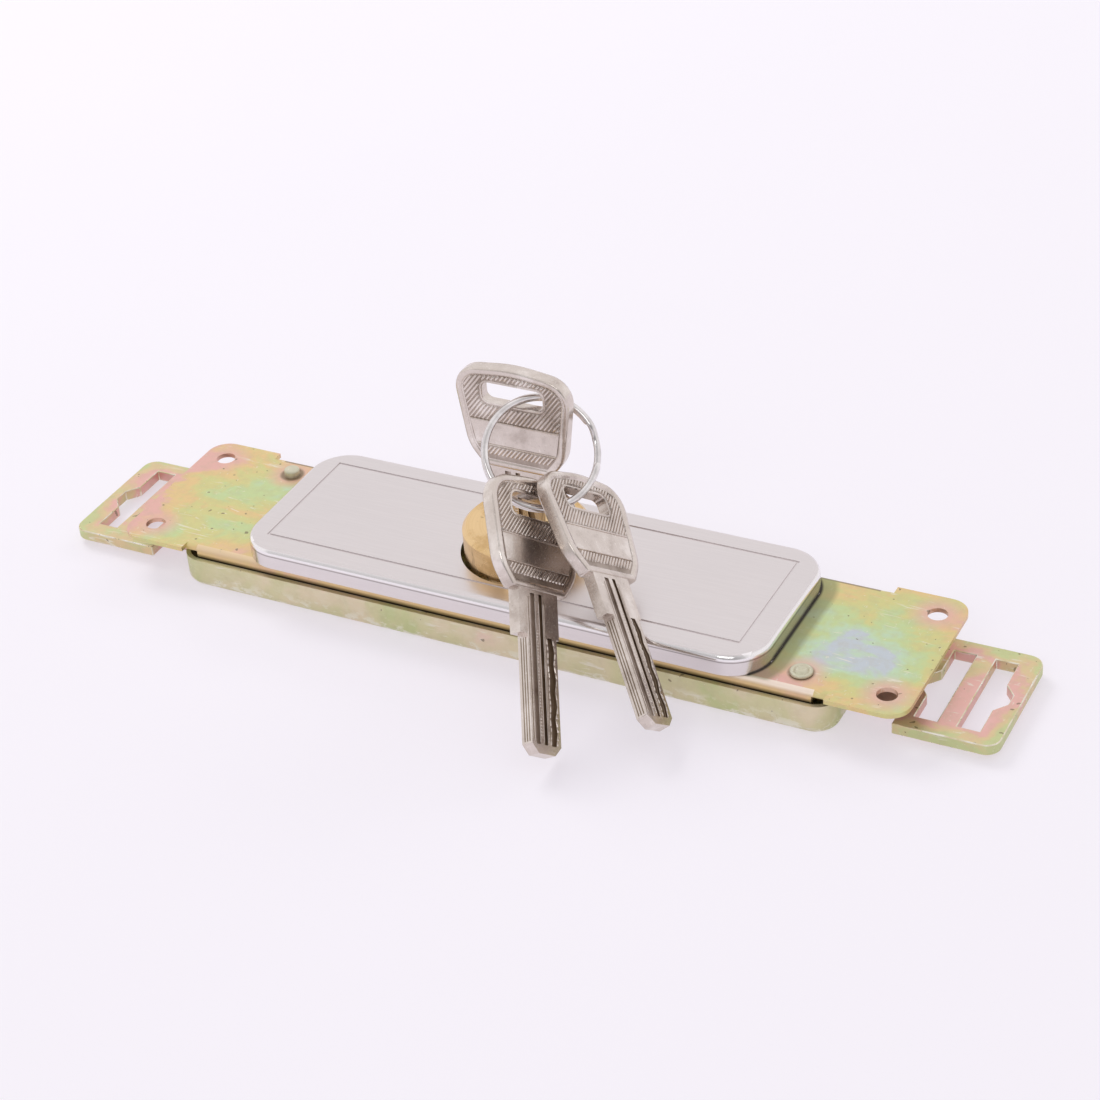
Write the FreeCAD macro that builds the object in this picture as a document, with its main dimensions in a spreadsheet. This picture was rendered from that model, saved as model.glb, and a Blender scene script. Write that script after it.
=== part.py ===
"""Roller shutter lock: a surface mounted deadlock whose two flat bolts slide out left and right.

Frame: millimetres, +X along the lock to the right, +Y to the upper long edge, +Z out of the door.
The origin is the centre of the tray's flat back. The bolts are thrown and the key is in.
"""

import FreeCAD, Part
import os
import re

import Sketcher

doc = FreeCAD.newDocument("RollerShutterLock")
sheet = doc.addObject("Spreadsheet::Sheet", "Sizes")

SIZES = {
    # tray, the folded case that lies on the shutter
    "tray_length": 148.0,
    "tray_width": 40.0,
    "tray_height": 6.9,
    "tray_wall": 1.0,
    "tray_corner": 5.0,
    "tray_bend": 2.2,
    # face plate, a folded lid with two fixing tabs
    "plate_length": 177.0,
    "plate_width": 40.0,
    "plate_thick": 1.0,
    "plate_top": 9.4,
    "plate_corner": 4.5,
    "flange_length": 139.0,
    "flange_gap": 0.2,
    "flange_foot": 2.4,
    "flange_bend": 1.5,
    "relief_length": 3.0,
    "fixing_span_x": 166.0,
    "fixing_span_y": 28.0,
    "fixing_hole": 4.2,
    # pressed cover
    "cover_length": 117.6,
    "cover_width": 40.0,
    "cover_rise": 4.75,
    "cover_wall": 0.8,
    "cover_corner": 8.5,
    "cover_bend": 1.5,
    "cover_hole": 27.6,
    "border_margin_x": 5.2,
    "border_margin_y": 5.0,
    "border_line": 0.5,
    "border_depth": 0.2,
    "cover_tab_length": 6.0,
    "cover_tab_place": 9.5,
    "cover_tab_reach": 1.8,
    # rivets between tray and plate
    "rivet_x": 65.4,
    "rivet_y": 13.45,
    "rivet_shoulder": 4.4,
    "rivet_shank": 3.0,
    "stud_head": 3.4,
    "stud_head_rise": 1.5,
    "dome_share": 0.6,
    "peened_head": 4.6,
    "peened_head_rise": 1.0,
    # lock cylinder
    "cylinder_dia": 26.0,
    "cylinder_rise": 6.35,
    "cylinder_edge": 0.7,
    "cylinder_gap": 0.3,
    "ear_length": 39.0,
    "ear_width": 24.0,
    "ear_corner": 5.0,
    "ear_thick": 2.1,
    "ear_screw_x": 16.5,
    "ear_screw": 2.5,
    "ear_screw_head": 4.4,
    "ear_screw_head_rise": 1.4,
    "screw_slot": 0.7,
    # plug that the key turns
    "plug_dia": 13.0,
    "plug_head_dia": 15.0,
    "plug_head_thick": 1.3,
    "running_gap": 0.06,
    "keyway_gap": 0.3,
    # pin stacks
    "pin_count": 4,
    "pin_first": 9.0,
    "pin_pitch": 2.9,
    "pin_dia": 2.1,
    "pin_gap": 0.05,
    "key_pin_end": 0.25,
    "key_pin_back": 0.15,
    "driver_length": 2.3,
    "spring_wire": 0.3,
    "strip_thick": 1.4,
    "strip_width": 2.8,
    "strip_length": 12.2,
    # cam disc below the plug, with its two studs
    "disc_dia": 23.0,
    "disc_thick": 1.8,
    "disc_gap": 0.4,
    "disc_screw": 1.8,
    "disc_screw_place": 4.6,
    "disc_screw_head": 2.8,
    "disc_screw_length": 3.6,
    "stud_dia": 3.2,
    "stud_circle": 7.0,
    "stud_start": 45.0,
    "stud_floor_gap": 0.4,
    # bolts
    "bolt_end": 105.0,
    "bolt_thick": 2.4,
    "bolt_floor_gap": 0.3,
    "bolt_head_start": 84.3,
    "bolt_head_width": 30.4,
    "bolt_head_corner": 3.0,
    "bolt_shank_width": 21.6,
    "bolt_guide_width": 29.2,
    "bolt_guide_start": 28.0,
    "bolt_guide_end": 50.0,
    "arm_inner": 4.8,
    "arm_past_slot": 2.4,
    "stud_slot_gap": 0.4,
    "stud_slot_open": 1.0,
    "slot_length": 22.8,
    "outer_slot_start": 96.0,
    "outer_slot_width": 4.5,
    "inner_slot_start": 87.5,
    "inner_slot_width": 4.5,
    "notch_width": 8.4,
    "notch_tip": 3.0,
    "notch_depth": 2.2,
    "bolt_side_gap": 0.3,
    # straps that hold the bolts down
    "strap_place": 56.0,
    "strap_length": 8.0,
    "strap_thick": 1.0,
    "strap_leg": 1.2,
    "strap_side_gap": 1.0,
    "strap_top_gap": 0.4,
    # keys
    "key_tip_height": 1.45,
    "blade_length": 31.9,
    "blade_width": 8.2,
    "blade_thick": 2.6,
    "blade_groove_depth": 0.55,
    "blade_tip_bevel": 1.8,
    "fine_groove_place": -2.35,
    "fine_groove_width": 1.2,
    "deep_groove_place": -0.12,
    "deep_groove_width": 0.9,
    "groove_end_gap": 0.6,
    "track_place": 1.4,
    "track_width": 1.3,
    "track_swing": 0.8,
    "neck_length": 8.9,
    "neck_left": 2.1,
    "neck_right": 0.8,
    "neck_overlap": 1.0,
    "bow_height": 23.3,
    "bow_width": 25.6,
    "bow_waist": 21.6,
    "bow_foot": 15.0,
    "bow_thick": 3.0,
    "bow_foot_rise": 4.2,
    "bow_shoulder_drop": 4.6,
    "bow_crown_cut": 2.6,
    "bow_crown_drop": 1.3,
    "bow_corner": 4.5,
    "bow_rim": 1.5,
    "bow_dish": 0.4,
    "bow_slot_length": 13.4,
    "bow_slot_width": 4.4,
    "bow_slot_height": 48.9,
    "bow_slot_corner": 1.4,
    # split ring and the two spare keys on it
    "ring_radius": 11.2,
    "ring_wire": 1.2,
    "ring_turn_gap": 0.1,
    "ring_jog": 20.0,
    "ring_end_gap": 22.0,
    "ring_turn_steps": 30,
    "ring_wire_sides": 8,
    "ring_x": 7.9,
    "ring_y": -5.16,
    "ring_z": 41.61,
    "ring_turned": 40.0,
    "ring_lean": 42.4,
    "spare_a_x": 10.06,
    "spare_a_y": -14.89,
    "spare_a_z": 34.77,
    "spare_a_yaw": 89.8,
    "spare_a_pitch": -28.9,
    "spare_a_roll": 43.5,
    "spare_b_x": 16.34,
    "spare_b_y": -5.46,
    "spare_b_z": 31.87,
    "spare_b_yaw": 104.9,
    "spare_b_pitch": -37.9,
    "spare_b_roll": 48.1,
}

for row, (alias, value) in enumerate(SIZES.items(), start=1):
    sheet.set("A%d" % row, alias)
    sheet.set("B%d" % row, str(value))
    sheet.setAlias("B%d" % row, alias)
doc.recompute()

NAME = re.compile(r"[a-z]+_[a-z_]+")

# How near two places have to be, in millimetres, to count as the same.
NEAR = 1e-3

# Heights and places that several pieces share, as formulas on the sheet's values.
ZERO = "0 * tray_wall"
PLATE_LOW = "(plate_top - plate_thick)"
COVER_TOP = "(plate_top + cover_rise)"
CYLINDER_TOP = "(plate_top + cover_rise + cylinder_rise)"
EAR_LOW = "(plate_top - plate_thick - ear_thick)"
DISC_TOP = "(plate_top - plate_thick - ear_thick - disc_gap)"
DISC_LOW = "(plate_top - plate_thick - ear_thick - disc_gap - disc_thick)"
PLUG_HEAD_LOW = "(plate_top + cover_rise + cylinder_rise - plug_head_thick)"
BOLT_LOW = "(tray_wall + bolt_floor_gap)"
BOLT_TOP = "(tray_wall + bolt_floor_gap + bolt_thick)"
FLANGE_OUT = "(tray_width / 2 - tray_wall - flange_gap)"
STRIP_IN = "(cylinder_dia / 2 - strip_thick)"
PIN_PLUG_FACE = "(blade_thick / 2 + keyway_gap)"


def num(formula):
    """The number that a formula on the sheet's values gives."""
    return float(sheet.evalExpression(formula))


def tie(thing, prop, formula):
    """Binds a property to a formula on the sheet's values."""
    thing.setExpression(prop, NAME.sub(r"Sizes.\g<0>", formula))


def new_body(label):
    made = doc.addObject("PartDesign::Body", label)
    made.Label = label
    return made


def sketch(target, role, name, offset=ZERO):
    """An empty sketch on one of the body's own planes, moved along the plane's normal."""
    plane = [f for f in target.Origin.OriginFeatures if f.Role == role][0]
    made = target.newObject("Sketcher::SketchObject", name)
    made.AttachmentSupport = [(plane, "")]
    made.MapMode = "FlatFace"
    tie(made, "AttachmentOffset.Base.z", offset)
    return made


def at(drawn, index, corner, across, up):
    """Pins one point of a sketch to the place that two formulas give."""
    for kind, formula in (("DistanceX", across), ("DistanceY", up)):
        place = drawn.addConstraint(Sketcher.Constraint(kind, index, corner, num(formula)))
        tie(drawn, "Constraints[%d]" % place, formula)


def outline(drawn, corners):
    """A closed outline through corners, each a pair of formulas."""
    spots = [FreeCAD.Vector(num(across), num(up), 0) for across, up in corners]
    first = drawn.GeometryCount
    count = len(corners)
    for i in range(count):
        drawn.addGeometry(Part.LineSegment(spots[i], spots[(i + 1) % count]), False)
    for i in range(count):
        after = first + (i + 1) % count
        drawn.addConstraint(Sketcher.Constraint("Coincident", first + i, 2, after, 1))
    for i, (across, up) in enumerate(corners):
        at(drawn, first + i, 1, across, up)


def rectangle(drawn, low_x, high_x, low_y, high_y):
    outline(drawn, [(low_x, low_y), (high_x, low_y), (high_x, high_y), (low_x, high_y)])


def centred(drawn, length, width):
    half_x, half_y = "(%s) / 2" % length, "(%s) / 2" % width
    rectangle(drawn, "-" + half_x, half_x, "-" + half_y, half_y)


def circle(drawn, across, up, diameter):
    spot = FreeCAD.Vector(num(across), num(up), 0)
    radius = "(%s) / 2" % diameter
    index = drawn.addGeometry(Part.Circle(spot, FreeCAD.Vector(0, 0, 1), num(radius)), False)
    at(drawn, index, 3, across, up)
    place = drawn.addConstraint(Sketcher.Constraint("Radius", index, num(radius)))
    tie(drawn, "Constraints[%d]" % place, radius)


def pad(target, drawn, length, name, back=False):
    made = target.newObject("PartDesign::Pad", name)
    made.Profile = drawn
    made.Reversed = back
    tie(made, "Length", length)
    doc.recompute()
    return made


def pocket(target, drawn, length, name, back=False):
    """Cuts against the sketch's normal, or along it with back. It has to remove something."""
    before = target.Shape.Volume
    made = target.newObject("PartDesign::Pocket", name)
    made.Profile = drawn
    made.Reversed = back
    tie(made, "Length", length)
    doc.recompute()
    if not target.Shape.Volume < before - NEAR:
        raise RuntimeError("%s removes nothing" % name)
    return made


def chosen(shape, wanted):
    """The names of the edges for which wanted(edge) holds."""
    return ["Edge%d" % (i + 1) for i, edge in enumerate(shape.Edges) if wanted(edge)]


def runs_along(edge, axis):
    ends = [v.Point for v in edge.Vertexes]
    if len(ends) < 2 or not isinstance(edge.Curve, Part.Line):
        return False
    way = (ends[1] - ends[0]).normalize()
    return abs(way.dot(axis)) > 0.999


def fillet(target, wanted, radius, name, kind="PartDesign::Fillet"):
    """Rounds or bevels the edges that wanted picks on the body as it is now."""
    base = target.Tip
    names = chosen(base.Shape, wanted)
    if not names:
        raise RuntimeError("%s finds no edge" % name)
    made = target.newObject(kind, name)
    made.Base = (base, names)
    tie(made, "Radius" if kind.endswith("Fillet") else "Size", radius)
    doc.recompute()
    return made


def hollow(target, height, wall, name):
    """Shells the body from the flat face at one height, which is left open."""
    base = target.Tip
    level, before = num(height), target.Shape.Volume
    faces = enumerate(base.Shape.Faces, start=1)
    box = [(index, face.BoundBox) for index, face in faces]
    names = ["Face%d" % i for i, b in box if abs(b.ZMin - level) + abs(b.ZMax - level) < NEAR]
    made = target.newObject("PartDesign::Thickness", name)
    made.Base = (base, names)
    made.Reversed = True
    tie(made, "Value", wall)
    doc.recompute()
    if not 0 < target.Shape.Volume < before:
        raise RuntimeError("%s is not hollow" % name)
    return made


X_AXIS = FreeCAD.Vector(1, 0, 0)
Y_AXIS = FreeCAD.Vector(0, 1, 0)
Z_AXIS = FreeCAD.Vector(0, 0, 1)


def middle(edge):
    return edge.BoundBox.Center


def upright_at(reach):
    """Picks upright edges at least reach from the middle along the lock."""
    return lambda edge: runs_along(edge, Z_AXIS) and abs(middle(edge).x) > reach


def flat_at(height):
    """Picks edges that lie at one height."""
    def wanted(edge):
        spots = [edge.valueAt(edge.FirstParameter), edge.valueAt(edge.LastParameter)]
        spots.append(edge.valueAt((edge.FirstParameter + edge.LastParameter) / 2))
        return all(abs(spot.z - height) < NEAR for spot in spots)

    return wanted


def make_tray():
    """The folded steel case, open at the top, with a notch for the bolt in each end."""
    tray = new_body("case_tray")
    drawn = sketch(tray, "XY_Plane", "TrayOutline")
    centred(drawn, "tray_length", "tray_width")
    pad(tray, drawn, "tray_height", "TrayBlock")
    fillet(tray, upright_at(0), "tray_corner", "TrayCorners")
    fillet(tray, flat_at(0), "tray_bend", "TrayBends")
    hollow(tray, "tray_height", "tray_wall", "TrayHollow")
    drawn = sketch(tray, "YZ_Plane", "TrayNotch", "-tray_length / 2 - tray_wall")
    half = "(bolt_shank_width / 2 + bolt_side_gap)"
    rectangle(drawn, "-" + half, half, "tray_wall", "tray_height + tray_wall")
    pocket(tray, drawn, "tray_length + 2 * tray_wall", "TrayNotches", back=True)
    drawn = sketch(tray, "XY_Plane", "TrayRivetHoles", "tray_wall")
    for side in ("", "-"):
        circle(drawn, side + "rivet_x", ("-" if side == "" else "") + "rivet_y", "rivet_shank + 2 * pin_gap")
    pocket(tray, drawn, "tray_wall", "TrayRivetHolesCut")
    return tray


def make_plate():
    """The lid: flat tabs with the fixing holes, and long edges folded down inside the tray."""
    plate = new_body("face_plate")
    drawn = sketch(plate, "XY_Plane", "PlateOutline", PLATE_LOW)
    half_x, half_y = "(plate_length / 2)", "(plate_width / 2)"
    step_x = "(flange_length / 2 + relief_length)"
    corners = [("-" + half_x, "-" + half_y), ("-" + step_x, "-" + half_y)]
    corners += [("-" + step_x, "-" + FLANGE_OUT), (step_x, "-" + FLANGE_OUT)]
    corners += [(step_x, "-" + half_y), (half_x, "-" + half_y), (half_x, half_y), (step_x, half_y)]
    corners += [(step_x, FLANGE_OUT), ("-" + step_x, FLANGE_OUT)]
    corners += [("-" + step_x, half_y), ("-" + half_x, half_y)]
    outline(drawn, corners)
    pad(plate, drawn, "plate_thick", "PlateSheet")
    fillet(plate, upright_at(num("plate_length / 2") - NEAR), "plate_corner", "PlateCorners")
    for name, low, high in (
        ("FlangeFront", "-" + FLANGE_OUT, "-(%s - plate_thick)" % FLANGE_OUT),
        ("FlangeBack", "%s - plate_thick" % FLANGE_OUT, FLANGE_OUT),
    ):
        drawn = sketch(plate, "XY_Plane", name + "Outline", "flange_foot")
        rectangle(drawn, "-flange_length / 2", "flange_length / 2", low, high)
        pad(plate, drawn, "plate_top - plate_thick / 2 - flange_foot", name)
    outer = num(FLANGE_OUT)
    top = num("plate_top")
    fillet(
        plate,
        lambda e: runs_along(e, X_AXIS)
        and abs(middle(e).z - top) < NEAR
        and abs(abs(middle(e).y) - outer) < NEAR,
        "flange_bend",
        "FlangeBends",
    )
    low = num(PLATE_LOW)
    fillet(
        plate,
        lambda e: runs_along(e, X_AXIS)
        and abs(middle(e).z - low) < NEAR
        and abs(abs(middle(e).y) - outer + num("plate_thick")) < NEAR,
        "flange_bend - plate_thick",
        "FlangeInnerBends",
    )
    drawn = sketch(plate, "XY_Plane", "PlateHoles", "plate_top")
    for side in ("", "-"):
        for edge in ("", "-"):
            circle(drawn, side + "fixing_span_x / 2", edge + "fixing_span_y / 2", "fixing_hole")
        circle(drawn, side + "rivet_x", ("-" if side == "" else "") + "rivet_y", "rivet_shank + 2 * pin_gap")
        circle(drawn, side + "ear_screw_x", ZERO, "ear_screw + 2 * pin_gap")
        for edge in ("", "-"):
            inner = "(cover_length / 2 - cover_wall - pin_gap)"
            reach = "(cover_length / 2 + pin_gap)"
            low_y = "(%scover_tab_place - cover_tab_length / 2 - pin_gap)" % edge
            high_y = "(%scover_tab_place + cover_tab_length / 2 + pin_gap)" % edge
            rectangle(drawn, side + inner, side + reach, low_y, high_y)
    circle(drawn, ZERO, ZERO, "cylinder_dia + 2 * cylinder_gap")
    pocket(plate, drawn, "plate_thick", "PlateHolesCut")
    return plate


def make_cover():
    """The pressed stainless cover with a line round its middle field and a hole for the cylinder."""
    cover = new_body("cover")
    drawn = sketch(cover, "XY_Plane", "CoverOutline", "plate_top")
    centred(drawn, "cover_length", "cover_width")
    pad(cover, drawn, "cover_rise", "CoverBlock")
    fillet(cover, upright_at(0), "cover_corner", "CoverCorners")
    fillet(cover, flat_at(num(COVER_TOP)), "cover_bend", "CoverBend")
    hollow(cover, "plate_top", "cover_wall", "CoverHollow")
    drawn = sketch(cover, "XY_Plane", "CoverLine", COVER_TOP)
    length, width = "cover_length - 2 * border_margin_x", "cover_width - 2 * border_margin_y"
    centred(drawn, length, width)
    centred(drawn, length + " - 2 * border_line", width + " - 2 * border_line")
    pocket(cover, drawn, "border_depth", "CoverLineCut")
    drawn = sketch(cover, "XY_Plane", "CoverHole", COVER_TOP)
    circle(drawn, ZERO, ZERO, "cover_hole")
    pocket(cover, drawn, "cover_rise", "CoverHoleCut")
    drawn = sketch(cover, "XY_Plane", "CoverTabs", "plate_top")
    for side in ("", "-"):
        for edge in ("", "-"):
            inner, reach = "(cover_length / 2 - cover_wall)", "cover_length / 2"
            low_y = "(%scover_tab_place - cover_tab_length / 2)" % edge
            high_y = "(%scover_tab_place + cover_tab_length / 2)" % edge
            rectangle(drawn, side + inner, side + reach, low_y, high_y)
    pad(cover, drawn, "cover_tab_reach", "CoverTabsDown", back=True)
    return cover


def make_rivet(label, side, head, rise):
    """A shouldered post between tray and plate, its head on the plate."""
    rivet = new_body(label)
    place_x = side + "rivet_x"
    place_y = ("-" if side == "" else "") + "rivet_y"
    steps = (
        ("Shank", ZERO, "rivet_shank", "plate_top"),
        ("Shoulder", "tray_wall", "rivet_shoulder", "plate_top - plate_thick - tray_wall"),
        ("Head", "plate_top", head, rise),
    )
    for name, start, diameter, length in steps:
        drawn = sketch(rivet, "XY_Plane", label + name + "Outline", start)
        circle(drawn, place_x, place_y, diameter)
        pad(rivet, drawn, length, label + name)
    top = num("plate_top + " + rise)
    fillet(rivet, flat_at(top), rise + " * dome_share", label + "Dome", "PartDesign::Chamfer")
    return rivet


def pin_heights():
    return ["pin_first + %d * pin_pitch" % i for i in range(int(SIZES["pin_count"]))]


def make_cylinder():
    """The brass cylinder: a round body with two ears that screw up under the plate."""
    cylinder = new_body("cylinder_body")
    centre = ZERO
    drawn = sketch(cylinder, "XY_Plane", "EarOutline", EAR_LOW)
    centred(drawn, "ear_length", "ear_width")
    pad(cylinder, drawn, "ear_thick", "Ears")
    fillet(cylinder, upright_at(0), "ear_corner", "EarCorners")
    drawn = sketch(cylinder, "XY_Plane", "BarrelOutline", EAR_LOW)
    circle(drawn, centre, centre, "cylinder_dia")
    pad(cylinder, drawn, CYLINDER_TOP + " - " + EAR_LOW, "Barrel")
    fillet(cylinder, flat_at(num(CYLINDER_TOP)), "cylinder_edge", "BarrelEdge", "PartDesign::Chamfer")
    drawn = sketch(cylinder, "XY_Plane", "PlugBoreOutline", CYLINDER_TOP)
    circle(drawn, centre, centre, "plug_dia + 2 * running_gap")
    pocket(cylinder, drawn, CYLINDER_TOP, "PlugBore")
    drawn = sketch(cylinder, "XY_Plane", "PlugSeatOutline", CYLINDER_TOP)
    circle(drawn, centre, centre, "plug_head_dia + 2 * running_gap")
    pocket(cylinder, drawn, "plug_head_thick + running_gap", "PlugSeat")
    drawn = sketch(cylinder, "XY_Plane", "EarHoles", PLATE_LOW)
    for side in ("", "-"):
        circle(drawn, side + "ear_screw_x", centre, "ear_screw + 2 * pin_gap")
    pocket(cylinder, drawn, "ear_thick", "EarHolesCut")
    drawn = sketch(cylinder, "XZ_Plane", "PinBores")
    for height in pin_heights():
        circle(drawn, centre, height, "pin_dia + 2 * pin_gap")
    pocket(cylinder, drawn, "cylinder_dia / 2 - strip_thick / 2", "PinBoresCut")
    drawn = sketch(cylinder, "XZ_Plane", "StripSlot", "-" + STRIP_IN)
    low, high = strip_span()
    half = "(strip_width / 2 + pin_gap)"
    rectangle(drawn, "-" + half, half, low + " - pin_gap", high + " + pin_gap")
    pocket(cylinder, drawn, "strip_thick + pin_gap", "StripSlotCut")
    return cylinder


def strip_span():
    """The strip's lower and upper ends, centred on the pin stacks."""
    centre = "(pin_first + (pin_count - 1) * pin_pitch / 2)"
    return centre + " - strip_length / 2", centre + " + strip_length / 2"


def make_strip():
    """The brass strip that closes the pin chambers, flush with the cylinder."""
    strip = new_body("chamber_strip")
    low, high = strip_span()
    drawn = sketch(strip, "XZ_Plane", "StripOutline", "-" + STRIP_IN)
    rectangle(drawn, "-strip_width / 2", "strip_width / 2", low, high)
    pad(strip, drawn, "strip_thick - 2 * pin_gap", "StripBar", back=True)
    return strip


def stacked(label, start, length, diameter, tip=None, bore=None):
    """One round piece in each pin chamber, from start along +Y, as a group of solids."""
    pieces = []
    for i, height in enumerate(pin_heights()):
        parts = []
        rod = doc.addObject("Part::Cylinder", "%s%dRod" % (label, i))
        tie(rod, "Radius", diameter + " / 2")
        tie(rod, "Height", length)
        tie(rod, "Placement.Base.y", start)
        parts.append(rod)
        if tip:
            cone = doc.addObject("Part::Cone", "%s%dTip" % (label, i))
            tie(cone, "Radius1", diameter + " / 4")
            tie(cone, "Radius2", diameter + " / 2")
            tie(cone, "Height", tip)
            tie(cone, "Placement.Base.y", start + " - " + tip)
            parts.append(cone)
        if bore:
            hollow = doc.addObject("Part::Cylinder", "%s%dHollow" % (label, i))
            tie(hollow, "Radius", bore + " / 2")
            tie(hollow, "Height", length)
            tie(hollow, "Placement.Base.y", start)
            parts.append(hollow)
        for part in parts:
            part.Placement.Rotation = FreeCAD.Rotation(X_AXIS, -90)
            tie(part, "Placement.Base.z", height)
        if len(parts) > 1:
            kind = "Part::Fuse" if tip else "Part::Cut"
            joined = doc.addObject(kind, "%s%d" % (label, i))
            joined.Base, joined.Tool = parts
            pieces.append(joined)
        else:
            pieces.append(rod)
    group = doc.addObject("Part::Compound", label)
    group.Links = pieces
    group.Label = label
    doc.recompute()
    return group


def make_pins():
    """Key pins in the plug, driver pins and their springs in the cylinder."""
    face = PIN_PLUG_FACE
    cone = "pin_dia / 4"
    key_start = "(%s + key_pin_end + pin_dia / 4)" % face
    key_length = "(plug_dia / 2 - key_pin_back - %s)" % key_start
    driver_start = "(plug_dia / 2 + key_pin_back)"
    spring_start = "(%s + driver_length + pin_gap)" % driver_start
    return [
        stacked("key_pins", key_start, key_length, "pin_dia", tip=cone),
        stacked("driver_pins", driver_start, "driver_length", "pin_dia"),
        stacked(
            "driver_springs",
            spring_start,
            "(%s - pin_gap - %s)" % (STRIP_IN, spring_start),
            "(pin_dia - 2 * pin_gap)",
            bore="(pin_dia - 2 * pin_gap - 2 * spring_wire)",
        ),
    ]


def make_plug():
    """The plug: a stepped brass rod with the keyway right through it."""
    plug = new_body("plug")
    centre = ZERO
    drawn = sketch(plug, "XY_Plane", "PlugOutline", DISC_TOP)
    circle(drawn, centre, centre, "plug_dia")
    pad(plug, drawn, CYLINDER_TOP + " - " + DISC_TOP, "PlugRod")
    drawn = sketch(plug, "XY_Plane", "PlugHeadOutline", PLUG_HEAD_LOW)
    circle(drawn, centre, centre, "plug_head_dia")
    pad(plug, drawn, "plug_head_thick", "PlugHead")
    drawn = sketch(plug, "XY_Plane", "KeywayOutline", CYLINDER_TOP)
    centred(drawn, "blade_width + 2 * keyway_gap", "blade_thick + 2 * keyway_gap")
    pocket(plug, drawn, CYLINDER_TOP, "Keyway")
    drawn = sketch(plug, "XY_Plane", "PlugScrewHoles", DISC_TOP)
    for side in ("", "-"):
        circle(drawn, centre, side + "disc_screw_place", "disc_screw + 2 * pin_gap")
    pocket(plug, drawn, "disc_screw_length - disc_thick + pin_gap", "PlugScrewHolesCut", back=True)
    drawn = sketch(plug, "XZ_Plane", "KeyPinBores", "-blade_thick / 2")
    for height in pin_heights():
        circle(drawn, centre, height, "pin_dia + 2 * pin_gap")
    pocket(plug, drawn, "plug_dia / 2", "KeyPinBoresCut")
    return plug


def stud_place(turn):
    """The formulas for a stud on the cam disc, turn degrees round from the right-hand one."""
    sign = "" if turn == 0 else "-"
    across = "%sstud_circle * cos(stud_start * 1deg)" % sign
    up = "%sstud_circle * sin(stud_start * 1deg)" % ("-" if turn == 0 else "")
    return across, up


def make_disc():
    """The cam disc screwed to the foot of the plug."""
    disc = new_body("cam_disc")
    centre = ZERO
    drawn = sketch(disc, "XY_Plane", "DiscOutline", DISC_LOW)
    circle(drawn, centre, centre, "disc_dia")
    centred(drawn, "blade_width + 2 * keyway_gap", "blade_thick + 2 * keyway_gap")
    for turn in (0, 180):
        across, up = stud_place(turn)
        circle(drawn, across, up, "stud_dia + 2 * pin_gap")
    pad(disc, drawn, "disc_thick", "DiscSheet")
    drawn = sketch(disc, "XY_Plane", "DiscScrewHoles", DISC_LOW)
    for side in ("", "-"):
        circle(drawn, centre, side + "disc_screw_place", "disc_screw + 2 * pin_gap")
    pocket(disc, drawn, "disc_thick", "DiscScrewHolesCut", back=True)
    drawn = sketch(disc, "XY_Plane", "DiscSinks", DISC_LOW)
    for side in ("", "-"):
        circle(drawn, centre, side + "disc_screw_place", "disc_screw_head + 2 * pin_gap")
    pocket(disc, drawn, "disc_thick / 2 + pin_gap", "DiscSinksCut", back=True)
    return disc


def make_disc_screws():
    """Two flush screws that hold the cam disc to the plug."""
    screws = []
    for i, side in enumerate(("", "-")):
        head = doc.addObject("Part::Cylinder", "DiscScrewHead%d" % i)
        shaft = doc.addObject("Part::Cylinder", "DiscScrewShaft%d" % i)
        tie(head, "Radius", "disc_screw_head / 2")
        tie(head, "Height", "disc_thick / 2")
        tie(shaft, "Radius", "disc_screw / 2")
        tie(shaft, "Height", "disc_screw_length")
        for rod in (head, shaft):
            tie(rod, "Placement.Base.y", side + "disc_screw_place")
            tie(rod, "Placement.Base.z", DISC_LOW)
        joined = doc.addObject("Part::Fuse", "DiscScrew%d" % i)
        joined.Base = head
        joined.Tool = shaft
        screws.append(joined)
    group = doc.addObject("Part::Compound", "cam_screws")
    group.Links = screws
    group.Label = "cam_screws"
    doc.recompute()
    return group


def make_studs():
    """The two drive studs riveted into the cam disc, one for each bolt."""
    studs = []
    for i, turn in enumerate((0, 180)):
        across, up = stud_place(turn)
        stud = doc.addObject("Part::Cylinder", "DriveStud%d" % i)
        tie(stud, "Radius", "stud_dia / 2")
        tie(stud, "Height", DISC_TOP + " - tray_wall - stud_floor_gap")
        tie(stud, "Placement.Base.x", across)
        tie(stud, "Placement.Base.y", up)
        tie(stud, "Placement.Base.z", "tray_wall + stud_floor_gap")
        studs.append(stud)
    group = doc.addObject("Part::Compound", "drive_studs")
    group.Links = studs
    group.Label = "drive_studs"
    doc.recompute()
    return group


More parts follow.
